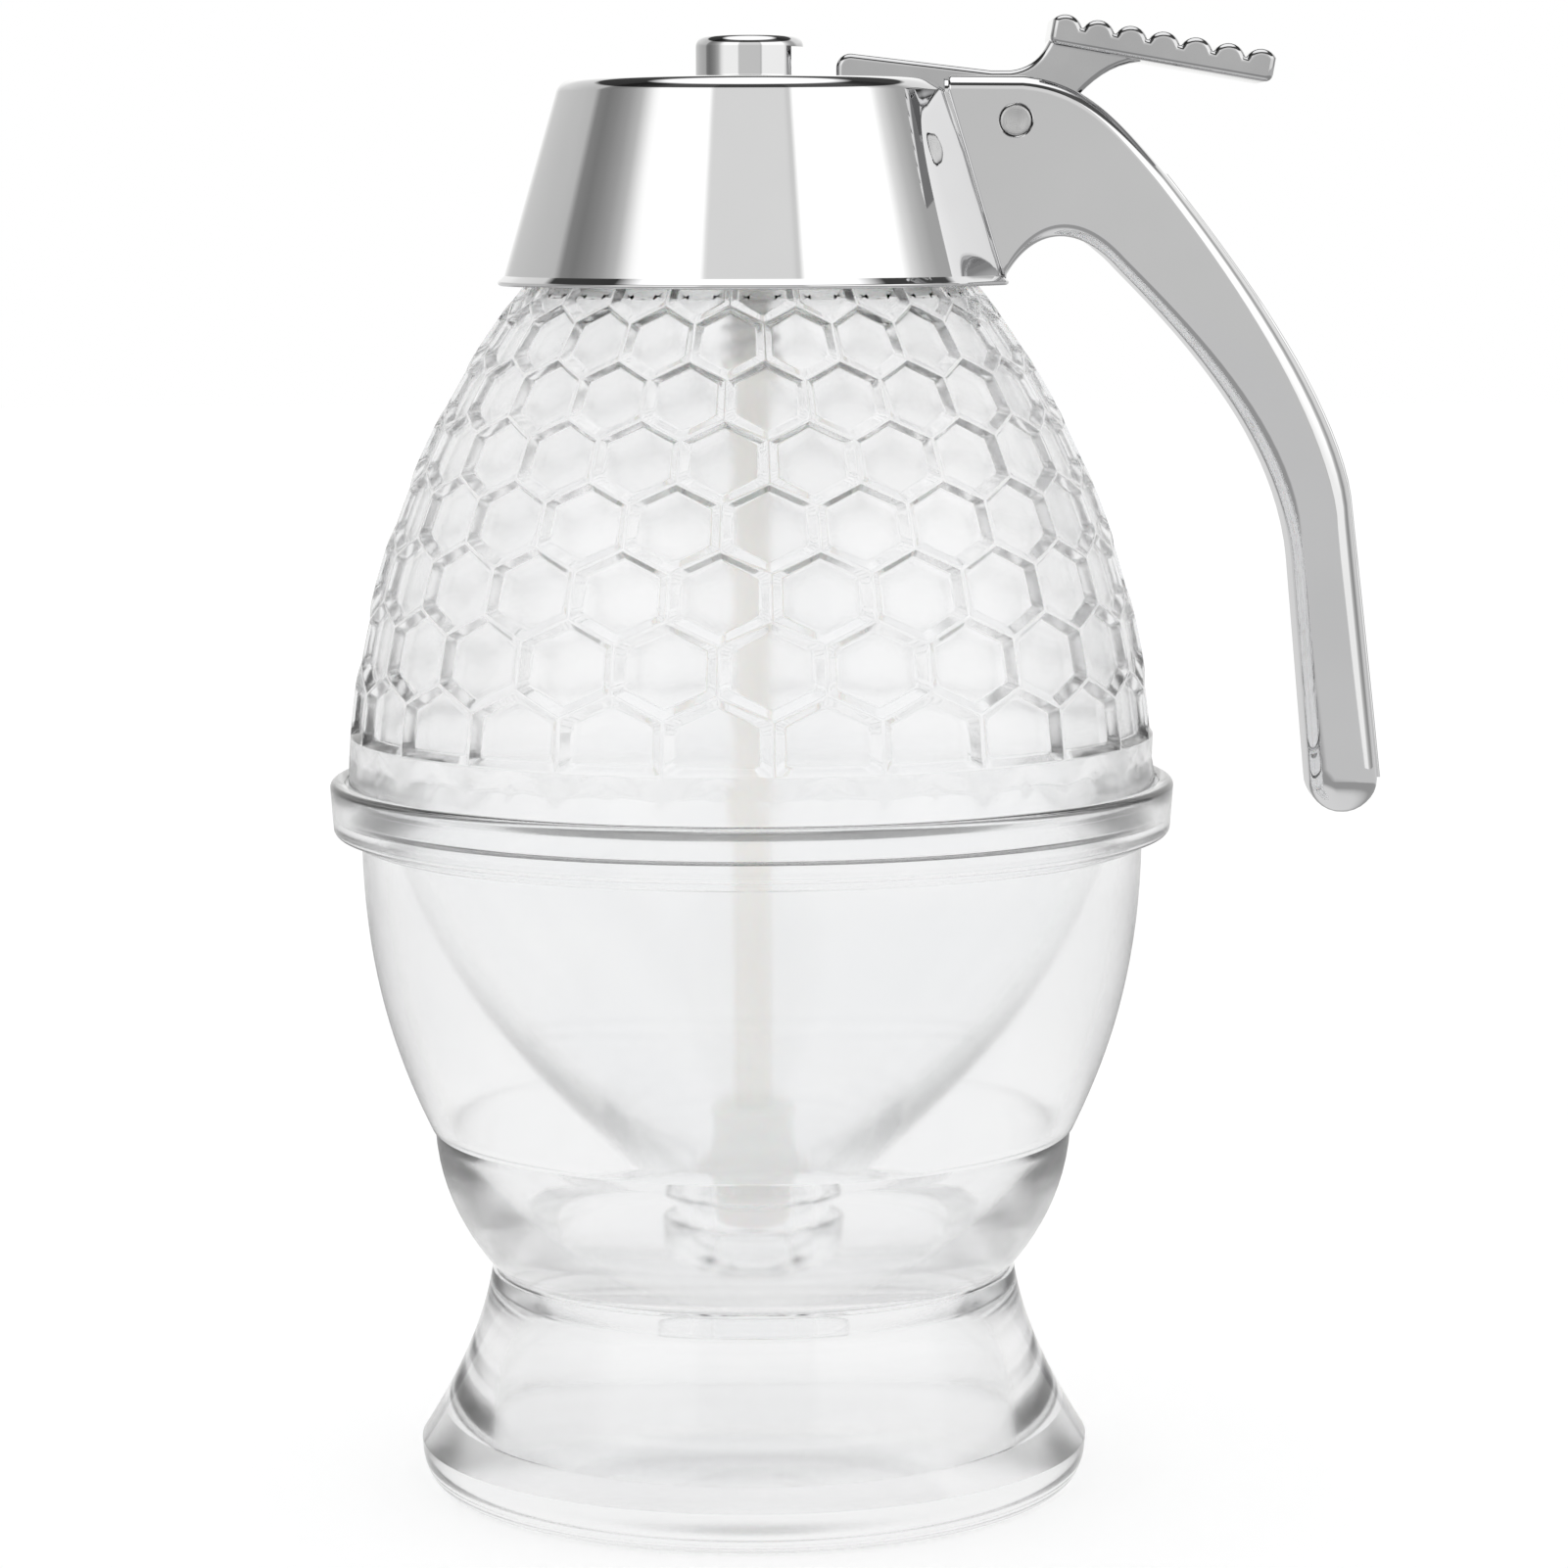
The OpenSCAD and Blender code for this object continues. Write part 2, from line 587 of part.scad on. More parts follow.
// The handle's two edges in the X-Z plane.  u runs from 0 at the cap, over the
// arch (1 to 2) and the bend (2 to 3), to 4 at the grip's lower end.
handle_top_z = cap_top_z + 0.5;
arch_z = cap_z + 0.4;
grip_low_z = handle_top_z - handle_h;
knee_out = pivot + [16.6, -5.6];
knee_in = pivot + [11.9, -16.9];
bend_out = [grip_reach - 3.6, grip_low_z + bend_h];
bend_in = bend_out - [grip_d - 1.3, 7];
tip_z_centre = grip_low_z + grip_d / 2;
strip_start = 2.02;

function outer_edge(u) =
    u < 1 ? [cap_top_r - 3.2, handle_top_z] * (1 - u) + [pivot_x, handle_top_z - 0.2] * u
    : u < 2 ? curve_at([pivot_x, handle_top_z - 0.2], [pivot_x + 7.4, handle_top_z - 0.6],
                       knee_out + [-5.4, 6.3], knee_out, u - 1)
    : u < 3 ? curve_at(knee_out, knee_out + [7.1, -8.8], bend_out + [-2.4, 12.5], bend_out, u - 2)
    : bend_out * (4 - u) + [grip_reach, tip_z_centre] * (u - 3);

function inner_edge(u) =
    u < 1 ? [cap_r - 3.5, arch_z] * (1 - u) + [cap_r + 0.3, arch_z] * u
    : u < 2 ? curve_at([cap_r + 0.3, arch_z], [cap_r + 3, arch_z + 5.4],
                       knee_in + [-5.5, 6.2], knee_in, u - 1)
    : u < 3 ? curve_at(knee_in, knee_in + [9, -9], bend_in + [-1.5, 13], bend_in, u - 2)
    : bend_in * (4 - u) + [grip_reach - grip_d, tip_z_centre] * (u - 3);

// Smooth step from 0 to 1 between two places on the handle.
function blend(u, from, to) = let (s = min(1, max(0, (u - from) / (to - from)))) s * s * (3 - 2 * s);

function half_thick(u) = (handle_t + (grip_t - handle_t) * blend(u, 1.6, 3)) / 2;
function half_depth(u) = norm(outer_edge(u) - inner_edge(u)) / 2;

// Rounding of the section's corners: crisp at the cap and full on the grip.
function corner_r(u) = handle_round + (grip_d * 0.35 - handle_round) * blend(u, 1.9, 3.1);

// Places a flat outline on the handle: d runs from the inner to the outer edge.
function place_section(u, outline, drop = 0) =
    let (low = inner_edge(u), high = outer_edge(u),
         mid = (low + high) / 2 - [0, drop],
         along = (high - low) / norm(high - low))
    [for (p = outline) let (xz = mid + along * p[0]) [xz[0], p[1], xz[1]]];

// A rounded rectangle with the cover strip's seat sunk into its back.
function handle_outline(u, shrink = 0, seat_depth = 0) =
    let (half = half_depth(u) - shrink,
         thick = half_thick(u) - shrink,
         r = min(corner_r(u), thick * 0.9, half * 0.9),
         seat = min(strip_w / 2 + fit_gap, thick - r - 0.1),
         floor_d = max(seat_depth, fit_gap))
    concat(
        [[half, -seat], [half - floor_d, -seat], [half - floor_d, seat], [half, seat]],
        [for (q = [0 : 3], i = [0 : 3])
            let (a = 90 * q + 30 * i,
                 side_d = q == 0 || q == 3 ? 1 : -1,
                 side_y = q < 2 ? 1 : -1)
            [side_d * (half - r) + r * cos(a), side_y * (thick - r) + r * sin(a)]]);

// Everything that the cap's shell fills, taken up past its top.
module cap_envelope() {
    revolve(concat([[0, cap_z - 5], [cap_r + cap_bead, cap_z - 5]], cap_outside(),
        [[cone_r(cap_top_z) - cap_round, cap_top_z + 5], [0, cap_top_z + 5]]));
}

module pin_bore(r) {
    translate([pivot_x, 0, pivot_z]) rotate([90, 0, 0])
        cylinder(h = 2 * handle_t, r = r, center = true);
}

// The arched handle, slotted for the lever and crossed by the pin's bore.
module handle() {
    seat_depth = strip_t - strip_proud;
    slot_end_x = pivot_x + 10;
    main = [for (u = [0, 0.5, 1, 1.12, 1.25, 1.37, 1.5, 1.62, 1.75, 1.87, strip_start - 0.02])
        place_section(u, handle_outline(u))];
    grip = [for (u = [strip_start, 2.15, 2.3, 2.45, 2.6, 2.75, 2.9, 3, 3.2, 3.5, 4])
        place_section(u, handle_outline(u, 0, seat_depth))];
    tip = [for (a = [4, 30, 55, 75])
        place_section(4, handle_outline(4, grip_d / 2 * (1 - cos(a))), grip_d / 2 * sin(a))];
    color("silver")
        difference() {
            loft(concat(main, grip, tip));
            cap_envelope();
            translate([cap_top_r - 8, -slot_w / 2, slot_low_z])
                cube([slot_end_x - cap_top_r + 8, slot_w, cap_top_z]);
            pin_bore(pin_r + fit_gap / 4);
        }
}

// The strip that closes the hollow back of the grip.
module handle_back_strip() {
    w = strip_w / 2;
    edge = 0.3;
    color("silver")
        loft([for (u = [strip_start + 0.01, 2.15, 2.3, 2.45, 2.6, 2.75, 2.9, 3, 3.2, 3.5, 3.995])
            let (high = half_depth(u) + strip_proud, low = high - strip_t + fit_gap / 2)
            place_section(u, [[low, -w], [high - edge, -w], [high, -w + edge], [high, w - edge],
                              [high - edge, w], [low, w]])]);
}

module pivot_pin() {
    length = handle_t - 0.6;
    color("gainsboro")
        translate([pivot_x, length / 2, pivot_z]) rotate([90, 0, 0])
            rotate_extrude()
                polygon([[0, 0], [pin_r - 0.25, 0], [pin_r, 0.25], [pin_r, length - 0.25],
                         [pin_r - 0.25, length], [0, length]]);
}

// ---- lever -----------------------------------------------------------------

// Side view of the lever's arm, hub and neck.
module lever_profile() {
    nose_x = boss_r + 3.7;
    nose_r = 1.6;
    arm_top_z = cap_top_z + 2.8;
    bar_top_z = fork_z + fork_r - 0.4;
    polygon(concat(
        [[0, arm_low_z], [pivot_x - 6, arm_low_z],
         pivot + lever_hub_r * [cos(230), sin(230)], pivot + lever_hub_r * [cos(-15), sin(-15)]],
        curve(pivot + [4.6, 0], pivot + [7.4, 2.8], pivot + [9.4, 5], pivot + [14.6, 6], 6),
        [pivot + [14.6, 6.4], pivot + [4.4, 10]],
        curve(pivot + [4.3, 10.4], pivot + [3.3, 7.2], pivot + [1.8, 5.7], pivot + [-1.2, 5.6], 6),
        [pivot + [-2.6, 5.65]],
        arc([nose_x + nose_r, arm_top_z - nose_r], nose_r, 86, 180, 4),
        [[nose_x, bar_top_z], [0, bar_top_z]]));
    translate([0, fork_z]) circle(fork_r);
    translate(pivot) circle(lever_hub_r);
}

// Side view of the thumb pad, with a row of round grip ribs along its top.
module pad_profile() {
    end = 1.55;
    length = (pad_ribs - 1) * pad_pitch + 2 * end;
    rib_drop = sqrt(pow(rib_r, 2) - pow(pad_pitch / 2, 2));
    translate(pivot + [4.1, 10.7]) rotate(-pad_slope)
        intersection() {
            union() {
                translate([0, -pad_t]) square([length, pad_t]);
                for (i = [0 : pad_ribs - 1])
                    translate([end + i * pad_pitch, -rib_drop]) circle(rib_r);
            }
            translate([0, -pad_t]) square([length, pad_t + rib_r]);
        }
}

module thumb_lever() {
    color("silver")
        difference() {
            union() {
                rotate([90, 0, 0])
                    linear_extrude(lever_w, center = true) lever_profile();
                rotate([90, 0, 0])
                    linear_extrude(pad_w, center = true) pad_profile();
            }
            pin_bore(pin_r + fit_gap);
            // the fork's gap round the rod's neck
            translate([0, 0, fork_z - fork_r - 1])
                cylinder(h = 2 * fork_r + 3, r = rod_neck_r + 0.4);
            translate([-fork_r - 1, -rod_neck_r - 0.4, fork_z - fork_r - 1])
                cube([fork_r + 1, 2 * rod_neck_r + 0.8, 2 * fork_r + 3]);
        }
}

// ---- plunger ---------------------------------------------------------------

// The rod, with the collar that carries the spring and a thin neck at its top.
module plunger_rod() {
    neck_z = fork_z - fork_r - loose_gap;
    color("ivory")
        revolve([[0, rod_low_z], [rod_r - 0.3, rod_low_z], [rod_r, rod_low_z + 0.3],
            [rod_r, collar_z - collar_h], [collar_r, collar_z - collar_h], [collar_r, collar_z],
            [rod_r, collar_z], [rod_r, neck_z], [rod_neck_r, neck_z],
            [rod_neck_r, head_top_z - 0.5], [0, head_top_z - 0.5]]);
}

// The head on the rod's neck, which the lever's fork lifts inside the boss.
module rod_head() {
    color("gainsboro")
        revolve([[rod_neck_r, head_z], [head_r - 0.2, head_z], [head_r, head_z + 0.2],
            [head_r, head_top_z - 0.4], [head_r - 0.4, head_top_z], [0, head_top_z],
            [0, head_top_z - 0.5 + fit_gap], [rod_neck_r, head_top_z - 0.5 + fit_gap]]);
}

module stopper() {
    lip = 0.3;
    color("white")
        revolve(concat(
            [[0, tip_z], [tip_r - 1.2, tip_z], [tip_r - 0.3, tip_z + 0.5], [tip_r, tip_z + 1.4],
             [tip_r, cone_z - 0.1], [tip_r + 0.1, cone_z], [stopper_r, cone_top_z - 0.2],
             [stopper_r - 0.3, cone_top_z + 0.2], [sleeve_r + 0.9, cone_top_z + 0.8],
             [sleeve_r + 0.5, cone_top_z + 1.4], [sleeve_r, stopper_top_z - 1.1],
             [sleeve_r + lip, stopper_top_z - 0.9], [sleeve_r + lip, stopper_top_z - 0.2],
             [sleeve_r, stopper_top_z], [rod_r, stopper_top_z],
             [rod_r, rod_low_z + 0.3 - fit_gap / 2], [rod_r - 0.3, rod_low_z - fit_gap / 2],
             [0, rod_low_z - fit_gap / 2]]));
}

// ---- spring ----------------------------------------------------------------

function coil_point(i) =
    let (a = 360 * i / RINGS_PER_TURN)
    [coil_r * cos(a), coil_r * sin(a), spring_low_z + spring_pitch * i / RINGS_PER_TURN];

// One ring of the wire's tube round a point of the coil.
function wire_ring(i) =
    let (a = 360 * i / RINGS_PER_TURN, centre = coil_point(i))
    [for (s = [0 : RING_SIDES - 1]) let (b = 360 * s / RING_SIDES)
        centre + wire_r * [cos(b) * cos(a), cos(b) * sin(a), sin(b)]];

coil_points = spring_turns * RINGS_PER_TURN;
coil_gap = min([for (i = [0 : coil_points - RINGS_PER_TURN])
    norm(coil_point(i + RINGS_PER_TURN) - coil_point(i))]) - 2 * wire_r;

module return_spring() {
    echo(str("least gap between the spring's turns, mm: ", coil_gap));
    color("darkgray")
        loft([for (i = [0 : coil_points]) wire_ring(i)]);
}

stand_cup();
stand_foot();
stand_base();
jar_funnel();
outlet_nozzle();
jar_dome();
cap_shell();
cap_liner();
cap_gasket();
handle();
handle_back_strip();
pivot_pin();
thumb_lever();
plunger_rod();
rod_head();
return_spring();
stopper();
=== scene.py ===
"""Looks of a honey dispenser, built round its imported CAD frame.

A clear honeycomb jar hangs in a clear stand. A chrome cap carries a curved handle, a thumb
lever and the sprung plunger that opens the jar's outlet. Sizes are in millimetres, in the
frame's axes: +Z up, the jar's axis at the origin and the handle along +X.
"""

import logging
import math
from collections.abc import Callable, Sequence
from dataclasses import dataclass, field
from enum import Enum

import bmesh
import bpy
from mathutils import Matrix, Vector


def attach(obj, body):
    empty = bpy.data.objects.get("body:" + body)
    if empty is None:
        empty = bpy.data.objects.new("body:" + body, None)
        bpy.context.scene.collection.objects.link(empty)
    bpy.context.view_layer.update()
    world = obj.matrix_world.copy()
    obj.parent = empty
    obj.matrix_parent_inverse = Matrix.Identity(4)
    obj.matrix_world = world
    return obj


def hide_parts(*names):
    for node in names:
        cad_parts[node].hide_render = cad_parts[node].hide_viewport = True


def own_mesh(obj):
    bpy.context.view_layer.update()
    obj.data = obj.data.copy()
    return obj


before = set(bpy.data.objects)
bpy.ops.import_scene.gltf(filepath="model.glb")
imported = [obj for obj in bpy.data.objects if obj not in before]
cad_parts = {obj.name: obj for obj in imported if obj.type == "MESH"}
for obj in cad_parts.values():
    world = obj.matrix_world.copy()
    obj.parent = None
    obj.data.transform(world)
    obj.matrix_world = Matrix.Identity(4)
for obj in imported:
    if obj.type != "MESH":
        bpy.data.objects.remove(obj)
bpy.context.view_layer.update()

MM = 0.001
FULL_TURN = 2 * math.pi
SEAM = 1e-6  # Points closer than this, in metres, are one.
NEAR = 0.01  # A face within this many millimetres of a plane or line lies on it.
FLAT_PULL = 80  # How strongly large faces lead the shading, of 100.
LOG = logging.getLogger("honey_dispenser")

Point = tuple[float, float]
Outline = list[Point]
Colour = tuple[float, float, float]

PIVOT: Point = (30.1, 157.7)


class Body(Enum):
    """The moving bodies of the frame."""

    STAND = "stand"
    JAR = "jar"
    CAP = "cap"
    LEVER = "lever"
    PLUNGER = "plunger"


# ---- outlines ------------------------------------------------------------------


def bezier(a: Point, b: Point, c: Point, d: Point, t: float) -> Point:
    """One point of a smooth curve.

    Args:
        a: Start of the curve.
        b: Point that steers the start.
        c: Point that steers the end.
        d: End of the curve.
        t: Place on the curve, from 0 to 1.

    Returns:
        The point.
    """
    weights = ((1 - t) ** 3, 3 * (1 - t) ** 2 * t, 3 * (1 - t) * t * t, t**3)
    return tuple(sum(w * p[axis] for w, p in zip(weights, (a, b, c, d))) for axis in (0, 1))


def curve(a: Point, b: Point, c: Point, d: Point, steps: int = 18) -> Outline:
    """The first points of a smooth curve that is cut in steps, without its last point."""
    return [bezier(a, b, c, d, i / steps) for i in range(steps)]


def arc(centre: Point, radius: float, start: float, end: float, steps: int = 6) -> Outline:
    """Points of an arc, with both ends.

    Args:
        centre: Centre of the arc.
        radius: Radius of the arc.
        start: First angle, in degrees.
        end: Last angle, in degrees.
        steps: Number of segments.

    Returns:
        The points along the arc.
    """
    angles = [math.radians(start + (end - start) * i / steps) for i in range(steps + 1)]
    return [(centre[0] + radius * math.cos(a), centre[1] + radius * math.sin(a)) for a in angles]


def rounded(corner: Point, radius: float, start: float, end: float, steps: int = 3) -> Outline:
    """Points that round a square corner.

    Args:
        corner: The sharp corner.
        radius: Radius of the rounding.
        start: First angle, in degrees.
        end: Last angle, in degrees, in the same quarter of the circle.
        steps: Number of segments.

    Returns:
        The points along the rounding.
    """
    quarter = min(start, end) // 90 % 4
    across = -radius if quarter in (0, 3) else radius
    up = -radius if quarter < 2 else radius
    return arc((corner[0] + across, corner[1] + up), radius, start, end, steps)


def eased(value: float, low: float, high: float) -> float:
    """A smooth step from 0 at low to 1 at high."""
    share = min(1.0, max(0.0, (value - low) / (high - low)))
    return share * share * (3 - 2 * share)


# ---- meshes --------------------------------------------------------------------


def lathe(outline: Sequence[Point], steps: int = 160, closed: bool = True,
          into: bmesh.types.BMesh | None = None, start: float = 0.0) -> bmesh.types.BMesh:
    """Spins an outline about the Z axis.

    Args:
        outline: Radius and height of each point, in millimetres.
        steps: Facets round the axis.
        closed: Whether the last point joins the first.
        into: A mesh that takes the new shell, or None for a new mesh.
        start: Angle of the first facet's edge, in radians.

    Returns:
        The mesh, in metres, with its faces pointing outwards.
    """
    mesh = into or bmesh.new()
    turn = Matrix.Rotation(start, 3, "Z")
    points = [mesh.verts.new(turn @ Vector((r * MM, 0, z * MM))) for r, z in outline]
    pairs = list(zip(points, points[1:]))
    if closed:
        pairs.append((points[-1], points[0]))
    edges = [mesh.edges.new(pair) for pair in pairs]
    bmesh.ops.spin(mesh, geom=points + edges, axis=(0, 0, 1), cent=(0, 0, 0),
                   angle=FULL_TURN, steps=steps, use_merge=True)
    return tidy(mesh)


def tidy(mesh: bmesh.types.BMesh) -> bmesh.types.BMesh:
    """Merges a mesh's doubled points, drops what has no area, and turns its faces outwards."""
    bmesh.ops.remove_doubles(mesh, verts=mesh.verts, dist=SEAM)
    bmesh.ops.dissolve_degenerate(mesh, edges=mesh.edges, dist=SEAM / 10)
    bmesh.ops.recalc_face_normals(mesh, faces=mesh.faces)
    return mesh


def verts_in(geometry: Sequence[object]) -> list[bmesh.types.BMVert]:
    """The points among an operator's results."""
    return [part for part in geometry if isinstance(part, bmesh.types.BMVert)]


def grow(mesh: bmesh.types.BMesh, edges: Sequence[bmesh.types.BMEdge]) -> tuple[list, list]:
    """Extrudes a line of edges.

    Args:
        mesh: The mesh.
        edges: The edges.

    Returns:
        The new line's points and edges.
    """
    grown = bmesh.ops.extrude_edge_only(mesh, edges=edges)["geom"]
    fresh = verts_in(grown)
    held = set(fresh)
    return fresh, [e for e in grown if isinstance(e, bmesh.types.BMEdge) and set(e.verts) <= held]


def put(mesh: bmesh.types.BMesh, at: Sequence[float], angle: float = 0.0, axis: str = "X") -> None:
    """Turns a mesh about an axis of its own, in radians, and moves it, in millimetres."""
    bmesh.ops.rotate(mesh, verts=mesh.verts, cent=(0, 0, 0), matrix=Matrix.Rotation(angle, 3, axis))
    bmesh.ops.translate(mesh, verts=mesh.verts, vec=[c * MM for c in at])


def slab(outline: Sequence[Point], width: float, edge: float, segments: int = 5) -> bmesh.types.BMesh:
    """A flat side view given a width, with its rims rounded.

    Args:
        outline: X and Z of the side view's points, in millimetres.
        width: Width along Y.
        edge: Rounding of the two rims, or 0 for none.
        segments: Facets across the rounding.

    Returns:
        The closed mesh.
    """
    mesh = bmesh.new()
    side = mesh.faces.new([mesh.verts.new((x * MM, -width / 2 * MM, z * MM)) for x, z in outline])
    grown = bmesh.ops.extrude_face_region(mesh, geom=[side], use_keep_orig=True)
    bmesh.ops.translate(mesh, verts=verts_in(grown["geom"]), vec=(0, width * MM, 0))
    if edge:
        rims = [e for e in mesh.edges if abs(e.verts[0].co.y - e.verts[1].co.y) < SEAM]
        bmesh.ops.bevel(mesh, geom=rims, offset=edge * MM, offset_type="OFFSET", segments=segments,
                        profile=0.5, affect="EDGES", clamp_overlap=False, material=-1)
    return tidy(mesh)


def loft(rings: Sequence[Sequence[Vector]]) -> bmesh.types.BMesh:
    """Draws a section along a path by extruding its ring from place to place.

    Args:
        rings: The section's points at each place, in millimetres.

    Returns:
        The mesh, closed at both ends.
    """
    mesh = bmesh.new()
    points = [mesh.verts.new(p * MM) for p in rings[0]]
    edges = [mesh.edges.new(pair) for pair in zip(points, points[1:] + points[:1])]
    first = list(edges)
    for ring in rings[1:]:
        fresh, edges = grow(mesh, edges)
        by_old = {}
        for v in fresh:
            old = next(e.other_vert(v) for e in v.link_edges if e.other_vert(v) not in fresh)
            by_old[old] = v
        points = [by_old[p] for p in points]
        for v, place in zip(points, ring):
            v.co = place * MM
    bmesh.ops.holes_fill(mesh, edges=first + edges)
    return tidy(mesh)


def block(low: Sequence[float], high: Sequence[float]) -> bmesh.types.BMesh:
    """A plain cutter block between two corners, in millimetres."""
    mesh = bmesh.new()
    bmesh.ops.create_cube(mesh, size=1)
    size = [(h - lo) * MM for lo, h in zip(low, high)]
    middle = [(h + lo) / 2 * MM for lo, h in zip(low, high)]
    bmesh.ops.scale(mesh, verts=mesh.verts, vec=size)
    bmesh.ops.translate(mesh, verts=mesh.verts, vec=middle)
    return mesh


def crosswise(outline: Sequence[Point], at: Point, steps: int = 48) -> bmesh.types.BMesh:
    """Spins an outline about a line along Y.

    Args:
        outline: Radius and place along Y of each point, in millimetres.
        at: X and Z of the line.
        steps: Facets round the line.

    Returns:
        The closed mesh.
    """
    mesh = lathe(outline, steps, closed=False)
    put(mesh, (at[0], 0, at[1]), -math.pi / 2)
    return mesh


def bond(mesh: bmesh.types.BMesh, test: Callable[[float, float], bool]) -> None:
    """Gives a piece's second finish, the bonded joint, to the faces whose centre passes a test.

    Args:
        mesh: The mesh.
        test: Takes a face's radius and height in millimetres.
    """
    for face in mesh.faces:
        centre = face.calc_center_median() / MM
        if test(math.hypot(centre.x, centre.y), centre.z):
            face.material_index = 1


# ---- finishes ------------------------------------------------------------------


class Recipe:
    """A node tree with short ways to add nodes and join them."""

    def __init__(self, tree: bpy.types.NodeTree) -> None:
        """Clears the tree and keeps it."""
        self.tree = tree
        tree.nodes.clear()

    def add(self, kind: str, **values: object) -> bpy.types.Node:
        """Adds a node.

        Args:
            kind: The node's type without its prefix, such as "TexNoise".
            **values: Settings of the node, or of its inputs by name with spaces as underscores.

        Returns:
            The node.
        """
        node = self.tree.nodes.new("ShaderNode" + kind)
        sockets = {s.name.replace(" ", "_"): s for s in reversed(node.inputs)}
        for name, value in values.items():
            if name in sockets:
                if isinstance(value, bpy.types.NodeSocket):
                    self.tree.links.new(value, sockets[name])
                else:
                    sockets[name].default_value = value
            else:
                setattr(node, name, value)
        return node

    def join(self, source: bpy.types.NodeSocket, target: bpy.types.NodeSocket) -> None:
        """Joins two sockets."""
        self.tree.links.new(source, target)

    def math(self, operation: str, *values: object) -> bpy.types.NodeSocket:
        """The result of a maths node on sockets or numbers."""
        node = self.tree.nodes.new("ShaderNodeMath")
        node.operation = operation
        for socket, value in zip(node.inputs, values):
            if isinstance(value, bpy.types.NodeSocket):
                self.tree.links.new(value, socket)
            else:
                socket.default_value = value
        return node.outputs[0]

    def blend(self, first: bpy.types.Node, second: bpy.types.Node,
              share: bpy.types.NodeSocket | None = None) -> bpy.types.Node:
        """Joins two shader nodes.

        Args:
            first: The first shader.
            second: The second shader.
            share: The second one's share, or None to add the two.

        Returns:
            The node that mixes or adds them.
        """
        node = self.add("AddShader") if share is None else self.add("MixShader", Fac=share)
        for shader, socket in zip((first, second), list(node.inputs)[-2:]):
            self.join(shader.outputs[0], socket)
        return node

    def ramp(self, factor: bpy.types.NodeSocket,
             stops: Sequence[tuple[float, Sequence[float]]]) -> bpy.types.NodeSocket:
        """A colour ramp over a factor.

        Args:
            factor: What the ramp reads.
            stops: Place and colour of each stop.

        Returns:
            The ramp's colour.
        """
        node = self.add("ValToRGB", Fac=factor)
        elements = node.color_ramp.elements
        while len(elements) < len(stops):
            elements.new(0.5)
        for element, (place, colour) in zip(elements, stops):
            element.position = place
            element.color = (*colour, 1)
        return node.outputs["Color"]

    def patchy(self, factor: bpy.types.NodeSocket, dark: Colour, light: Colour) -> bpy.types.NodeSocket:
        """A colour that drifts from a darker to a lighter shade."""
        return self.ramp(factor, [(0.3, dark), (0.7, light)])

    def grain(self, scale: float, detail: float = 2.0,
              stretch: Sequence[float] = (1, 1, 1)) -> bpy.types.NodeSocket:
        """Noise on the piece's own coordinates.

        Args:
            scale: Waves of the noise in a metre.
            detail: Finer layers.
            stretch: Scale along each axis.

        Returns:
            The noise's factor.
        """
        place = self.add("Mapping", Vector=self.add("TexCoord").outputs["Object"], Scale=stretch)
        return self.add("TexNoise", Vector=place.outputs[0], Scale=scale, Detail=detail).outputs["Fac"]

    def span(self, factor: bpy.types.NodeSocket, low: float, high: float) -> bpy.types.NodeSocket:
        """A factor taken to the range from low to high."""
        return self.add("MapRange", Value=factor, To_Min=low, To_Max=high).outputs["Result"]

    def bump(self, height: bpy.types.NodeSocket, strength: float, depth: float) -> bpy.types.NodeSocket:
        """A surface relief of a depth in millimetres."""
        return self.add("Bump", Height=height, Strength=strength, Distance=depth * MM).outputs["Normal"]

    def surface(self, shader: bpy.types.Node) -> None:
        """Makes a shader node the material's surface."""
        self.add("OutputMaterial", Surface=shader.outputs[0])


@dataclass(frozen=True)
class Finish:
    """A finish with the material slot that it belongs to."""

    name: str
    slot: str

    def recipe(self) -> tuple[bpy.types.Material, Recipe]:
        """A new material and its empty node tree."""
        material = bpy.data.materials.new(self.name)
        material.use_nodes = True
        return material, Recipe(material.node_tree)

    def material(self) -> bpy.types.Material:
        """The finish's material."""
        raise NotImplementedError


@dataclass(frozen=True)
class ClearPlastic(Finish):
    """Clear moulded plastic with a faint flow in its surface."""

    tint: Colour = (0.998, 0.999, 1.0)
    shade: Colour = (0.985, 0.988, 0.991)
    refraction: float = 1.49
    flow: float = 0.02
    haze: tuple[float, float] = (0.06, 0.11)
    shadow: float = 0.96

    def material(self) -> bpy.types.Material:
        """The plastic, which lets light through to what it holds."""
        made, recipe = self.recipe()
        flow = recipe.grain(55, 2)
        body = recipe.add("BsdfPrincipled", IOR=self.refraction, Transmission_Weight=1.0,
                          Base_Color=recipe.ramp(flow, [(0.35, self.shade), (0.6, self.tint)]),
                          Roughness=recipe.span(recipe.grain(320, 3), *self.haze),
                          Normal=recipe.bump(flow, 0.4, self.flow))
        clear = recipe.add("BsdfTransparent", Color=(self.shadow,) * 3 + (1,))
        recipe.surface(recipe.blend(body, clear, recipe.add("LightPath").outputs["Is Shadow Ray"]))
        return made


@dataclass(frozen=True)
class Bond(Finish):
    """A joint between two clear pieces, which the eye sees through."""

    def material(self) -> bpy.types.Material:
        """A surface that bends no light."""
        made, recipe = self.recipe()
        haze = recipe.patchy(recipe.grain(90, 2), (0.985, 0.985, 0.985), (1, 1, 1))
        recipe.surface(recipe.add("BsdfTransparent", Color=haze))
        return made


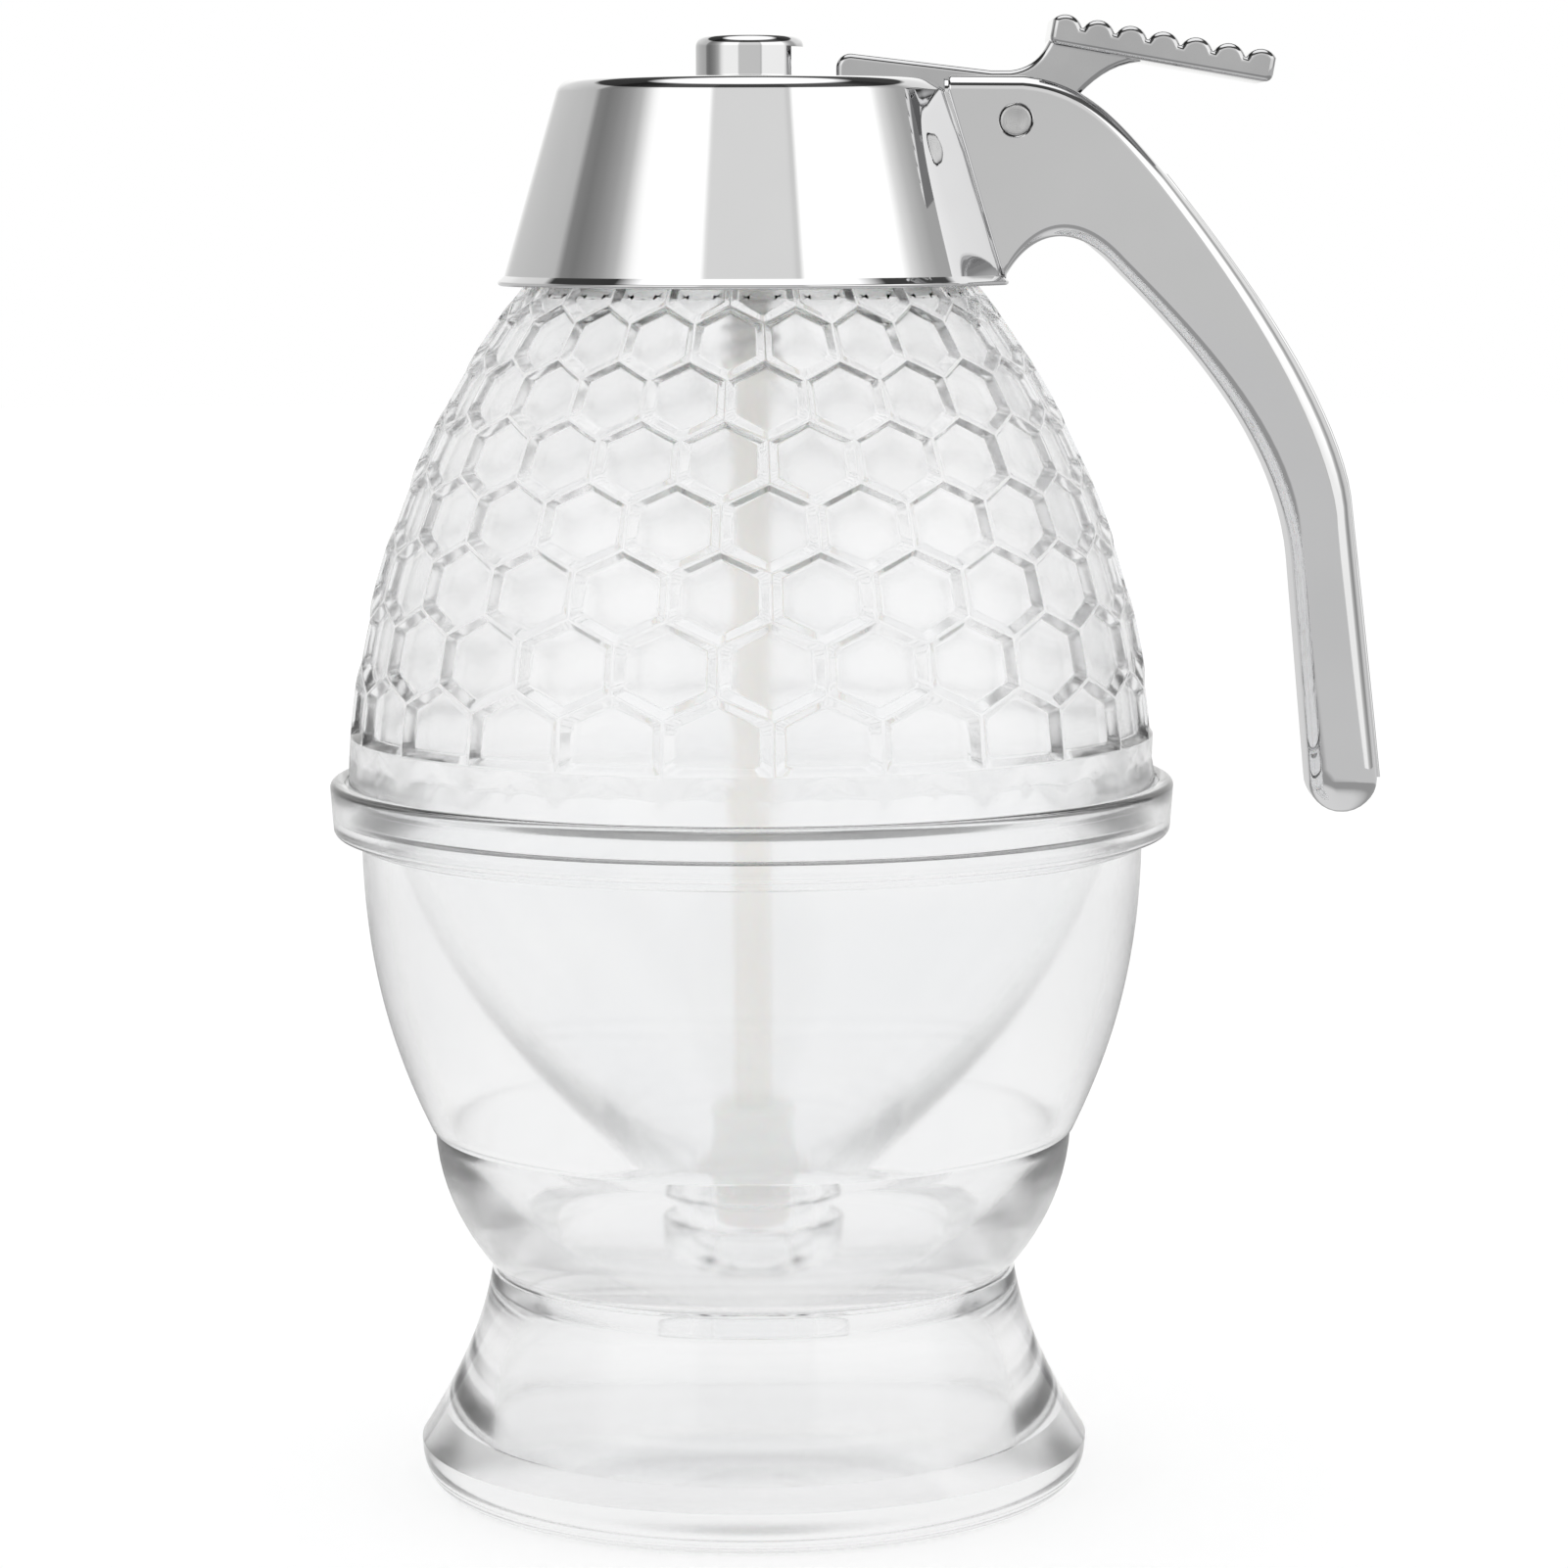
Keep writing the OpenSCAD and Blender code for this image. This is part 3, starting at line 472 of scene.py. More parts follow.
@dataclass(frozen=True)
class Metal(Finish):
    """A metal, bright or brushed, with faint smears."""

    dark: Colour = (0.69, 0.69, 0.695)
    light: Colour = (0.73, 0.73, 0.735)
    gloss: tuple[float, float] = (0.02, 0.05)
    scale: float = 45.0
    stretch: tuple[float, float, float] = (1, 1, 1)
    relief: float = 0.0

    def body(self, recipe: Recipe, smear: bpy.types.NodeSocket) -> bpy.types.Node:
        """The metal's shader, whose shade and gloss follow a smear."""
        return recipe.add("BsdfPrincipled", Metallic=1.0, Roughness=recipe.span(smear, *self.gloss),
                          Base_Color=recipe.patchy(smear, self.dark, self.light))

    def material(self) -> bpy.types.Material:
        """The metal."""
        made, recipe = self.recipe()
        smear = recipe.grain(self.scale, 3, self.stretch)
        body = self.body(recipe, smear)
        if self.relief:
            recipe.join(recipe.bump(smear, 0.5, self.relief), body.inputs["Normal"])
        recipe.surface(body)
        return made


@dataclass(frozen=True)
class TurnedPin(Metal):
    """Steel turned on a lathe: its face has fine rings round the pin's own axis."""

    centre: Point = PIVOT

    def material(self) -> bpy.types.Material:
        """The turned steel."""
        made, recipe = self.recipe()
        place = recipe.add("Mapping", Vector=recipe.add("TexCoord").outputs["Object"],
                           Location=(-self.centre[0] * MM, 0, -self.centre[1] * MM))
        rings = recipe.add("TexWave", Vector=place.outputs[0], wave_type="RINGS", rings_direction="Y",
                           Scale=1600.0, Distortion=2.5, Detail=2.0).outputs["Fac"]
        body = self.body(recipe, recipe.grain(420, 2))
        recipe.join(recipe.bump(rings, 0.35, 0.02), body.inputs["Normal"])
        recipe.surface(body)
        return made


@dataclass(frozen=True)
class Moulding(Finish):
    """A white or translucent moulded part with a soft skin."""

    dark: Colour = (0.87, 0.86, 0.825)
    light: Colour = (0.92, 0.915, 0.885)
    gloss: tuple[float, float] = (0.3, 0.42)
    relief: float = 0.03
    glow: float = 0.15

    def material(self) -> bpy.types.Material:
        """The moulded material."""
        made, recipe = self.recipe()
        skin = recipe.grain(900, 3)
        cloud = recipe.grain(70, 2)
        recipe.surface(recipe.add(
            "BsdfPrincipled", Base_Color=recipe.patchy(cloud, self.dark, self.light),
            Roughness=recipe.span(skin, *self.gloss), Normal=recipe.bump(skin, 0.3, self.relief),
            Subsurface_Weight=self.glow, Subsurface_Scale=0.004))
        return made


@dataclass(frozen=True)
class Palette:
    """Every finish of the dispenser, each made once."""

    clear: ClearPlastic = ClearPlastic("clear_moulding", "clear_plastic")
    honeycomb: ClearPlastic = ClearPlastic("clear_honeycomb", "clear_plastic", flow=0.01, haze=(0.11, 0.16))
    bond: Bond = Bond("bonded_joint", "clear_plastic")
    chrome: Metal = Metal("polished_chrome", "chrome")
    # The lever's chrome is a darker copy of polished_chrome. Its lower base colour is painted shade for the
    # dimmer room that the lever mirrors, and its gloss is a touch rougher.
    lever: Metal = Metal("handled_chrome", "chrome", (0.51, 0.51, 0.515), (0.58, 0.58, 0.585),
                         (0.03, 0.07), 120.0)
    pin: TurnedPin = TurnedPin("turned_steel", "pin_steel", (0.5, 0.5, 0.5), (0.66, 0.66, 0.66),
                               (0.22, 0.34))
    wire: Metal = Metal("drawn_wire", "spring_steel", (0.42, 0.42, 0.43), (0.6, 0.6, 0.61), (0.16, 0.3),
                        900.0, (1, 1, 0.25), 0.01)
    moulded: Moulding = Moulding("white_moulding", "white_plastic")
    silicone: Moulding = Moulding("pale_silicone", "silicone", (0.84, 0.84, 0.82), (0.89, 0.89, 0.875),
                                  (0.42, 0.55), 0.02, 0.3)


PALETTE = Palette()
CLEAR = (PALETTE.clear, PALETTE.bond)
CLEAR_CREASE = 24.0
MADE: dict[str, bpy.types.Material] = {}


def made_once(finish: Finish) -> bpy.types.Material:
    """The material of a finish, made the first time it is asked for."""
    if finish.name not in MADE:
        MADE[finish.name] = finish.material()
    return MADE[finish.name]


# ---- pieces --------------------------------------------------------------------


@dataclass
class Piece:
    """One finished piece: its mesh, its finishes, and the CAD nodes that it stands for."""

    name: str
    mesh: bmesh.types.BMesh
    body: Body
    finishes: tuple[Finish, ...]
    nodes: tuple[str, ...]
    crease: float = 32.0
    cutters: list[bmesh.types.BMesh] = field(default_factory=list)
    weighted: bool = False

    def place(self) -> bpy.types.Object:
        """Makes the piece's object and hands it to the frame.

        Returns:
            The object.
        """
        thing = self.solid(self.name, self.mesh)
        for finish in self.finishes:
            thing.data.materials.append(made_once(finish))
        if self.cutters:
            self.carve(thing)
        thing.data.shade_smooth()
        thing.data.set_sharp_from_angle(angle=math.radians(self.crease))
        if self.weighted:
            even = thing.modifiers.new("even_normals", "WEIGHTED_NORMAL")
            even.keep_sharp = True
            even.weight = FLAT_PULL
        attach(thing, self.body.value)
        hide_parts(*self.nodes)
        LOG.info("%s: %d faces, rides on %s", self.name, len(thing.data.polygons), self.body.value)
        return thing

    @staticmethod
    def solid(name: str, mesh: bmesh.types.BMesh) -> bpy.types.Object:
        """An object of a finished bmesh, which is freed."""
        data = bpy.data.meshes.new(name)
        mesh.to_mesh(data)
        mesh.free()
        thing = bpy.data.objects.new(name, data)
        bpy.context.scene.collection.objects.link(thing)
        return thing

    def carve(self, thing: bpy.types.Object) -> None:
        """Cuts the piece's cutters out of an object's mesh."""
        blades = []
        for number, cutter in enumerate(self.cutters):
            blade = self.solid(f"{self.name}_cutter_{number}", cutter)
            blades.append(blade)
            cut = thing.modifiers.new(blade.name, "BOOLEAN")
            cut.object, cut.operation, cut.solver = blade, "DIFFERENCE", "EXACT"
        graph = bpy.context.evaluated_depsgraph_get()
        carved = bpy.data.meshes.new_from_object(thing.evaluated_get(graph))
        thing.modifiers.clear()
        thing.data = carved
        for blade in blades:
            bpy.data.objects.remove(blade)


# ---- stand ---------------------------------------------------------------------


@dataclass
class Stand:
    """The clear stand: a base plate, a flared skirt, and a bowl with the rim's socket."""

    ground_r: float = 36.2
    foot_r: float = 38.9
    base_h: float = 5.2
    floor_z: float = 6.0
    floor_r: float = 32.2
    skirt_inner_r: float = 32.28
    skirt_neck: Point = (26.3, 21.5)
    waist_z: float = 25.2
    waist_r: float = 30.4
    bore_r: float = 24.4
    seam_lip: float = 0.3
    ledge_r: float = 37.2
    ledge_z: float = 42.0
    bowl_r: float = 45.1
    inner_r: float = 42.9
    step_r: float = 46.0
    step_z: float = 75.2
    rim_low_z: float = 76.4
    rim_r: float = 48.7
    rim_draft: float = 0.35
    rim_round: float = 0.8
    top_z: float = 82.6
    socket_z: float = 78.4
    socket_r: float = 46.95

    def base_plate(self) -> bmesh.types.BMesh:
        """The bonded base plate with its raised floor."""
        side = curve((self.ground_r, 0.15), (self.foot_r - 0.9, 0.6), (self.foot_r, 2.4),
                     (self.foot_r, self.base_h))
        mesh = lathe([(0, 0), (self.ground_r - 0.35, 0), *side, (self.foot_r, self.base_h),
                      (self.floor_r, self.base_h), (self.floor_r, self.floor_z), (0, self.floor_z)],
                     closed=False)
        bond(mesh, lambda r, z: r > self.floor_r - 0.1 and self.base_h - NEAR < z < self.floor_z - NEAR)
        return mesh

    def skirt(self) -> bmesh.types.BMesh:
        """The flared skirt between the base plate and the waist."""
        outer = curve((self.foot_r, self.base_h), (35.5, 10.5), (31.6, 17.8),
                      (self.waist_r + 0.1, self.waist_z))
        inner = curve(self.skirt_neck, (24.9, 23.1), (self.bore_r, 24.2), (self.bore_r, self.waist_z), 8)
        seam_r = self.waist_r - self.seam_lip
        mesh = lathe([*outer, (self.waist_r + 0.1, self.waist_z), (seam_r, self.waist_z),
                      (self.bore_r, self.waist_z), *reversed(inner), (self.skirt_inner_r, self.floor_z),
                      (self.skirt_inner_r, self.base_h)])
        bond(mesh, lambda r, z: (z > self.waist_z - NEAR and r < seam_r) or z < self.base_h + NEAR
             or (z < self.floor_z and r < self.skirt_inner_r + 0.1))
        return mesh

    def bowl(self) -> bmesh.types.BMesh:
        """The bowl, whose rim ring holds the jar's flange."""
        seam_r, ledge_r, ledge_z = self.waist_r - self.seam_lip, self.ledge_r, self.ledge_z
        low = curve((seam_r, self.waist_z + 0.4), (33.2, 29.06), (36.6, 34.44),
                    (ledge_r - 0.2, ledge_z - 0.4), 12)
        high = curve((ledge_r + 0.2, ledge_z), (41.2, 49.8), (self.bowl_r - 0.2, 60.0),
                     (self.bowl_r, self.step_z))
        rim = [(self.bowl_r, self.step_z), *arc((self.step_r - 0.5, self.step_z + 0.7), 0.5, -80, 0, 4),
               (self.step_r, self.rim_low_z),
               *rounded((self.rim_r - self.rim_draft, self.rim_low_z), self.rim_round, -90, 0, 7),
               *rounded((self.rim_r, self.top_z), self.rim_round, 0, 90, 7),
               *rounded((self.socket_r, self.top_z), 0.35, 90, 180), (self.socket_r, self.socket_z)]
        inside = [*curve((self.inner_r, self.socket_z), (42.7, 59.5), (38.9, 50.5), (35, ledge_z)),
                  *curve((35, ledge_z), (34.2, 35.4), (28.8, 29.4), (self.bore_r, 26.0), 12),
                  (self.bore_r, 26.0)]
        mesh = lathe([(seam_r, self.waist_z), *low, (ledge_r - 0.2, ledge_z - 0.4), *high, *rim, *inside,
                      (self.bore_r, self.waist_z)])
        bond(mesh, lambda r, z: z < self.waist_z + NEAR)
        return mesh

    def build(self) -> None:
        """Builds the three clear pieces."""
        for name, mesh, node in (("clear_base_plate", self.base_plate(), "stand_base"),
                                 ("clear_skirt", self.skirt(), "stand_foot"),
                                 ("clear_bowl", self.bowl(), "stand_cup")):
            Piece(name, mesh, Body.STAND, CLEAR, (node,), CLEAR_CREASE).place()


# ---- jar -----------------------------------------------------------------------


@dataclass
class Jar:
    """The jar: a honeycomb dome with a threaded neck, a smooth lower bowl and a nozzle."""

    jar_r: float = 46.6
    flange_r: float = 46.5
    flange_z: float = 78.7
    base_z: float = 80.6
    shoulder_z: float = 139.9
    curve_h: float = 77.09
    dome_p: float = 1.935
    dome_q: float = 1.522
    wall: float = 2.7
    band_z: float = 83.0
    first_row_z: float = 139.3
    row_span: float = 48.5
    row_growth: float = 0.206
    cells: int = 24
    rows: int = 7
    cell_turn: float = 3.3
    cut_z: float = 87.6
    notch_z: float = 85.0
    notch_depth: float = 0.5
    side_facets: int = 4
    neck_r: float = 19.6
    neck_top_z: float = 151.8
    neck_bore_r: float = 17.6
    thread_h: float = 1.0
    thread_pitch: float = 3.0
    thread_z: float = 141.8
    thread_turns: float = 2.4
    funnel_r: float = 42.3
    mouth_r: float = 40.3
    funnel_low: Point = (8.6, 33.4)
    tip_r: float = 4.4
    stopper_r: float = 7.0
    cone_z: float = 32.4
    cone_h: float = 4.4
    seat_gap: float = 0.345
    plug_top_z: float = 34.0
    nozzle_z: float = 21.9
    nozzle_top_z: float = 31.4
    nozzle_r: float = 9.25
    nozzle_flange_r: float = 10.4
    drip_r: float = 10.9
    drip_h: float = 5.6
    drip_round: float = 0.7
    plug_gap: float = 0.08
    outlet_r: float = 4.8

    # Rings of one cell, from the crest inwards: distance from the crest line as a share of
    # the cell's own unit, and depth under the crest in millimetres.
    cell_rings: tuple[Point, ...] = ((0.018, 0.0), (0.03, 0.05), (0.104, 0.84), (0.122, 0.93),
                                     (0.145, 0.95), (0.34, 0.95))

    def dome_radius(self, z: float) -> float:
        """Radius of the rib crests at a height."""
        rise = max(0.0, z - self.base_z) / self.curve_h
        return self.jar_r * (1 - rise**self.dome_p) ** (1 / self.dome_q)

    def row_z(self, row: float) -> float:
        """Height of a row of cells; between rows it runs straight."""
        def whole(i: int) -> float:
            s = i / self.rows
            return self.first_row_z - self.row_span * ((1 - self.row_growth) * s + self.row_growth * s * s)
        i = min(max(math.floor(row), 0), self.rows)
        return whole(i) + (whole(i + 1) - whole(i)) * (row - i)

    def row_at(self, z: float) -> float:
        """The row coordinate below the last row, or above the first, at a height."""
        i = 0 if z > self.first_row_z else self.rows
        return i + (self.row_z(i) - z) / (self.row_z(i) - self.row_z(i + 1))

    def cell_sheet(self) -> bmesh.types.BMesh:
        """The honeycomb unrolled: hexagons side by side, with their depth along Z.

        Returns:
            A flat mesh. X is the way round the jar, -Y the rows and -Z the depth.
        """
        step = 1 / math.sqrt(3)
        sheet = bmesh.new()
        bmesh.ops.create_circle(sheet, cap_ends=True, radius=2 / 3, segments=6)
        seed = list(sheet.verts) + list(sheet.edges) + list(sheet.faces)
        for row in range(self.rows + 1):
            for column in range(self.cells):
                if row == column == 0:
                    continue
                copy = bmesh.ops.duplicate(sheet, geom=seed)["geom"]
                bmesh.ops.translate(sheet, verts=verts_in(copy),
                                    vec=((2 * column + row % 2) * step, -row, 0))
        bmesh.ops.remove_doubles(sheet, verts=sheet.verts, dist=1e-4)
        top = -self.row_at(self.shoulder_z)
        bmesh.ops.bisect_plane(sheet, geom=list(sheet.verts) + list(sheet.edges) + list(sheet.faces),
                               dist=1e-5, plane_co=(0, top, 0), plane_no=(0, 1, 0), clear_outer=True)
        lids = [e for e in sheet.edges if all(abs(v.co.y - top) < 1e-4 for v in e.verts)]
        bmesh.ops.subdivide_edges(sheet, edges=lids, cuts=1)
        return sheet

    def sink_cells(self, sheet: bmesh.types.BMesh) -> None:
        """Sinks each cell's floor and cuts its sides finely, with cut feet and a band below the rows."""
        floors = list(sheet.faces)
        ring = sheet.verts.layers.int.new("ring")
        foot = [e for e in sheet.edges if all(v.co.y < -self.rows - 0.3 for v in e.verts)]
        tips = {v for e in foot for v in e.verts if v.co.y < -self.rows - 0.5}
        middles = {round(v.co.x, 3) for v in tips}
        for v in {v for e in foot for v in e.verts}:
            v.co.y = -self.row_at(self.cut_z)
        for number, height in ((-1, self.notch_z), (-2, self.band_z), (-3, self.base_z)):
            fresh, foot = grow(sheet, foot)
            for v in fresh:
                v.co.yz = -self.row_at(height), 0.0
                v[ring] = number
            if number == -1:
                sunk = {v for v in fresh if round(v.co.x, 3) in middles}
                for v in sunk:
                    v.co.z = -self.notch_depth
                bmesh.ops.connect_verts(sheet, verts=list(tips) + [v for v in fresh if v not in sunk])
        reached = 0.0
        for number, (inset, depth) in enumerate(self.cell_rings, 1):
            bmesh.ops.inset_individual(sheet, faces=floors, thickness=inset - reached, use_even_offset=True)
            reached = inset
            for v in {v for face in floors for v in face.verts}:
                v.co.z = -depth
                v[ring] = number
        around = [e for e in sheet.edges if e.verts[0][ring] == e.verts[1][ring]]
        bmesh.ops.subdivide_edges(sheet, edges=around, cuts=self.side_facets - 1)
        bmesh.ops.poke(sheet, faces=[f for f in sheet.faces if len(f.verts) > 4])

    def roll_up(self, sheet: bmesh.types.BMesh) -> None:
        """Rolls the flat honeycomb on to the dome."""
        half_turn = math.pi / self.cells
        start = math.radians(self.cell_turn - 90)
        for v in sheet.verts:
            angle = start + v.co.x * math.sqrt(3) * half_turn
            z = self.row_z(-v.co.y)
            radius = self.dome_radius(z) + v.co.z
            v.co = Vector((radius * math.cos(angle), radius * math.sin(angle), z)) * MM

    def thread_height(self, angle: float, z: float) -> float:
        """How far the neck's thread stands out at an angle and height."""
        turn = (angle / FULL_TURN) % 1
        near = round((z - self.thread_z) / self.thread_pitch - turn)
        run = near + turn
        away = abs(z - self.thread_z - self.thread_pitch * run)
        ends = eased(run, 0, 0.12) * (1 - eased(run, self.thread_turns - 0.12, self.thread_turns))
        return self.thread_h * ends * (1 - eased(away, 0.35, 1.0))

    def dome(self) -> bmesh.types.BMesh:
        """The honeycomb dome with its smooth inner wall and threaded neck."""
        dome = self.cell_sheet()
        self.sink_cells(dome)
        self.roll_up(dome)
        bmesh.ops.remove_doubles(dome, verts=dome.verts, dist=SEAM * 2)
        shoulder_in_z = self.shoulder_z - 2.2
        neck_low, neck_high = self.shoulder_z + 0.9, self.neck_top_z - 1.2
        rings = [(self.neck_r, neck_low + (neck_high - neck_low) * i / 40) for i in range(41)]
        inner = [(self.dome_radius(z) - self.wall, z)
                 for z in (shoulder_in_z + (self.base_z - shoulder_in_z) * i / 36 for i in range(37))]
        lathe([(self.dome_radius(self.shoulder_z), self.shoulder_z),
               *rounded((self.neck_r, self.shoulder_z), 0.5, 270, 180), *rings,
               *rounded((self.neck_r, self.neck_top_z), 0.4, 0, 90, 4),
               *rounded((self.neck_bore_r, self.neck_top_z), 0.4, 90, 180, 4),
               (self.neck_bore_r, shoulder_in_z + 1.6), *inner, (self.jar_r, self.base_z)],
              2 * self.cells * self.side_facets, closed=False, into=dome, start=math.radians(self.cell_turn))
        for v in dome.verts:
            place = v.co / MM
            on_neck = abs(math.hypot(place.x, place.y) - self.neck_r) < NEAR / 10
            if on_neck and neck_low - NEAR < place.z < neck_high + NEAR:
                angle = math.atan2(place.y, place.x)
                radius = self.neck_r + self.thread_height(angle, place.z)
                v.co = Vector((radius * math.cos(angle), radius * math.sin(angle), place.z)) * MM
        bond(dome, lambda r, z: z < self.base_z + NEAR)
        return dome

    def seat_r(self, z: float) -> float:
        """Radius of the stopper's seat at a height."""
        tip = self.tip_r + 0.1
        return tip + (self.stopper_r - tip) * (z - self.cone_z) / self.cone_h + self.seat_gap

    def funnel(self) -> bmesh.types.BMesh:
        """The smooth lower jar with its flange."""
        span = self.flange_z - self.funnel_low[1]
        cone_top_z = self.cone_z + self.cone_h
        seat_top = (self.stopper_r + 1, cone_top_z + 0.5)
        low_r, low_z = self.funnel_low
        inner = curve((self.mouth_r, self.base_z), (self.mouth_r * 0.926, self.flange_z - span * 0.313),
                      (self.mouth_r * 0.628, low_z + span * 0.358), seat_top, 28)
        outer = curve((self.funnel_r, self.flange_z), (self.funnel_r * 0.922, self.flange_z - span * 0.335),
                      (self.funnel_r * 0.638, low_z + span * 0.311), self.funnel_low, 28)
        plug_r = self.seat_r(self.plug_top_z)
        mesh = lathe([(self.flange_r - 0.4, self.flange_z),
                      *rounded((self.flange_r, self.flange_z), 0.4, -80, 0, 4),
                      (self.flange_r, self.base_z), (self.jar_r - self.wall, self.base_z),
                      (self.mouth_r + 0.3, self.base_z), (self.mouth_r, self.base_z - 0.3), *inner[1:],
                      seat_top, (self.seat_r(cone_top_z), cone_top_z), (plug_r, self.plug_top_z),
                      (plug_r, self.nozzle_top_z), (low_r, self.nozzle_top_z), self.funnel_low,
                      *reversed(outer)])
        bond(mesh, lambda r, z: (z > self.base_z - NEAR and r > self.jar_r - self.wall)
             or z < self.nozzle_top_z + NEAR or (z < self.plug_top_z - 0.3 and r < plug_r + 0.05))
        return mesh

    def nozzle(self) -> bmesh.types.BMesh:
        """The drip nozzle with the stopper's seat and the outlet."""
        low, drip_top = self.nozzle_z, self.nozzle_z + self.drip_h
        plug_r = self.seat_r(self.plug_top_z) - self.plug_gap
        mesh = lathe([(self.outlet_r, low + 0.5), (self.outlet_r + 0.5, low),
                      *rounded((self.drip_r, low), self.drip_round, -90, 0, 6),
                      *rounded((self.drip_r, drip_top), self.drip_round, 0, 90, 6),
                      (self.nozzle_r, drip_top), (self.nozzle_r, self.nozzle_top_z - 0.6),
                      *arc((self.nozzle_flange_r - 0.2, self.nozzle_top_z - 0.4), 0.2, -90, 0, 3),
                      *rounded((self.nozzle_flange_r, self.nozzle_top_z), 0.2, 0, 90),
                      (self.funnel_low[0], self.nozzle_top_z), (plug_r, self.nozzle_top_z),
                      (plug_r, self.plug_top_z - self.plug_gap), (self.seat_r(self.cone_z), self.cone_z),
                      (self.outlet_r, self.cone_z - 0.1)], 128)
        bond(mesh, lambda r, z: (abs(z - self.nozzle_top_z) < NEAR and r < self.funnel_low[0])
             or (z > self.nozzle_top_z and r > plug_r - 0.05))
        return mesh

    def build(self) -> None:
        """Builds the jar's three clear pieces."""
        Piece("honeycomb_dome", self.dome(), Body.JAR, (PALETTE.honeycomb, PALETTE.bond), ("jar_dome",), 38,
              weighted=True).place()
        for name, mesh, node in (("lower_jar", self.funnel(), "jar_funnel"),
                                 ("drip_nozzle", self.nozzle(), "outlet_nozzle")):
            Piece(name, mesh, Body.JAR, CLEAR, (node,), CLEAR_CREASE).place()


# ---- cap -----------------------------------------------------------------------


@dataclass
class Cap:
    """The chrome cap with its boss, white threaded liner and sealing ring."""

    low_z: float = 139.2
    top_z: float = 162.5
    low_r: float = 28.46
    top_r: float = 21.66
    wall: float = 1.6
    bead: float = 0.45
    rounding: float = 2.0
    boss_r: float = 6.15
    boss_top_z: float = 167.4
    boss_round: float = 1.3
    boss_bore_r: float = 4.75
    ceiling_z: float = 166.4
    slot_w: float = 7.8
    slot_low_z: float = 156.7
    liner_z: float = 140.3
    liner_bore_r: float = 20.9
    liner_r: float = 22.3
    web_z: float = 153.0
    liner_top_z: float = 154.8
    hub_r: float = 4.6
    hub_z: float = 150.6
    guide_r: float = 2.28
    gasket_h: float = 1.0
    gasket_in_r: float = 18.0
    saddle_turn: float = 30.0
    saddle_half: float = 6.5
    saddle_proud: float = 1.2

    @property
    def lean(self) -> float:
        """How far the cone leans from upright, in degrees."""
        return math.degrees(math.atan2(self.low_r - self.top_r, self.top_z - self.low_z))

    @property
    def rounded_r(self) -> float:
        """Radius of the circle on which the top edge's rounding is centred."""
        lean = math.radians(self.lean)
        return self.cone_r(self.top_z - self.rounding * (1 - math.sin(lean))) - self.rounding * math.cos(lean)

    @property
    def plate_z(self) -> float:
        """Underside of the cap's top."""
        return self.top_z - self.wall

    def cone_r(self, z: float) -> float:
        """Outside radius of the cap's cone at a height."""
        return self.low_r - (z - self.low_z) * (self.low_r - self.top_r) / (self.top_z - self.low_z)

    def saddle_x(self, z: float) -> float:
        """Where the saddle that carries the handle stands at a height."""
        return math.sqrt(self.cone_r(z) ** 2 - self.saddle_half**2) + self.saddle_proud

    def draw_saddle(self, mesh: bmesh.types.BMesh) -> None:
        """Draws the cone out to a flat-sided saddle under the handle's root."""
        turn = math.radians(self.saddle_turn)
        for v in mesh.verts:
            place = v.co / MM
            radius, angle = math.hypot(place.x, place.y), math.atan2(abs(place.y), place.x)
            if angle >= turn or place.z > self.top_z or radius < self.cone_r(place.z) - self.wall / 2:
                continue
            cone_r, root_x = self.cone_r(place.z), self.saddle_x(place.z)
            corner = Vector((cone_r * math.cos(turn), cone_r * math.sin(turn)))
            along = Vector((root_x, self.saddle_half)) - corner
            flat_r = corner.cross(along) / Vector((math.cos(angle), math.sin(angle))).cross(along)
            grown = min(flat_r, root_x / math.cos(angle)) / cone_r
            share = 1 - eased(place.z, self.top_z - self.rounding, self.top_z - 0.3)
            v.co.xy = v.co.xy * (1 + (grown - 1) * share)

    def shell(self) -> bmesh.types.BMesh:
        """The shell, from its inner lower edge over the bead, cone and boss and back inside."""
        bead_r = self.low_r + self.bead
        mesh = lathe([(self.low_r - self.wall, self.low_z), (bead_r - 0.2, self.low_z),
                      *arc((bead_r - 0.3, self.low_z + 0.3), 0.3, -80, 40, 5),
                      (self.cone_r(self.low_z + 1.1), self.low_z + 1.1),
                      *[(self.cone_r(z), z) for z in (self.low_z + 3, self.low_z + 9, self.low_z + 15)],
                      *arc((self.rounded_r, self.top_z - self.rounding), self.rounding, self.lean, 90, 12),
                      (self.cone_r(self.top_z) - 4, self.top_z), (self.boss_r + 4, self.top_z),
                      *rounded((self.boss_r, self.top_z), 0.5, 270, 180, 4),
                      *rounded((self.boss_r, self.boss_top_z), self.boss_round, 0, 90, 9),
                      (0, self.boss_top_z), (0, self.ceiling_z), (self.boss_bore_r, self.ceiling_z),
                      (self.boss_bore_r, self.plate_z), (self.cone_r(self.plate_z) - self.wall, self.plate_z),
                      (self.low_r - self.wall, self.low_z)], 192, closed=False)
        self.draw_saddle(mesh)
        return mesh

    def slot_cutters(self) -> list[bmesh.types.BMesh]:
        """What the lever's slot takes out of the shell."""
        half = self.slot_w / 2
        return [block((0, -half, self.slot_low_z), (self.low_r + 2, half, self.top_z + 1)),
                block((0, -half, self.plate_z), (self.boss_r + 1.2, half, self.ceiling_z - 0.3))]

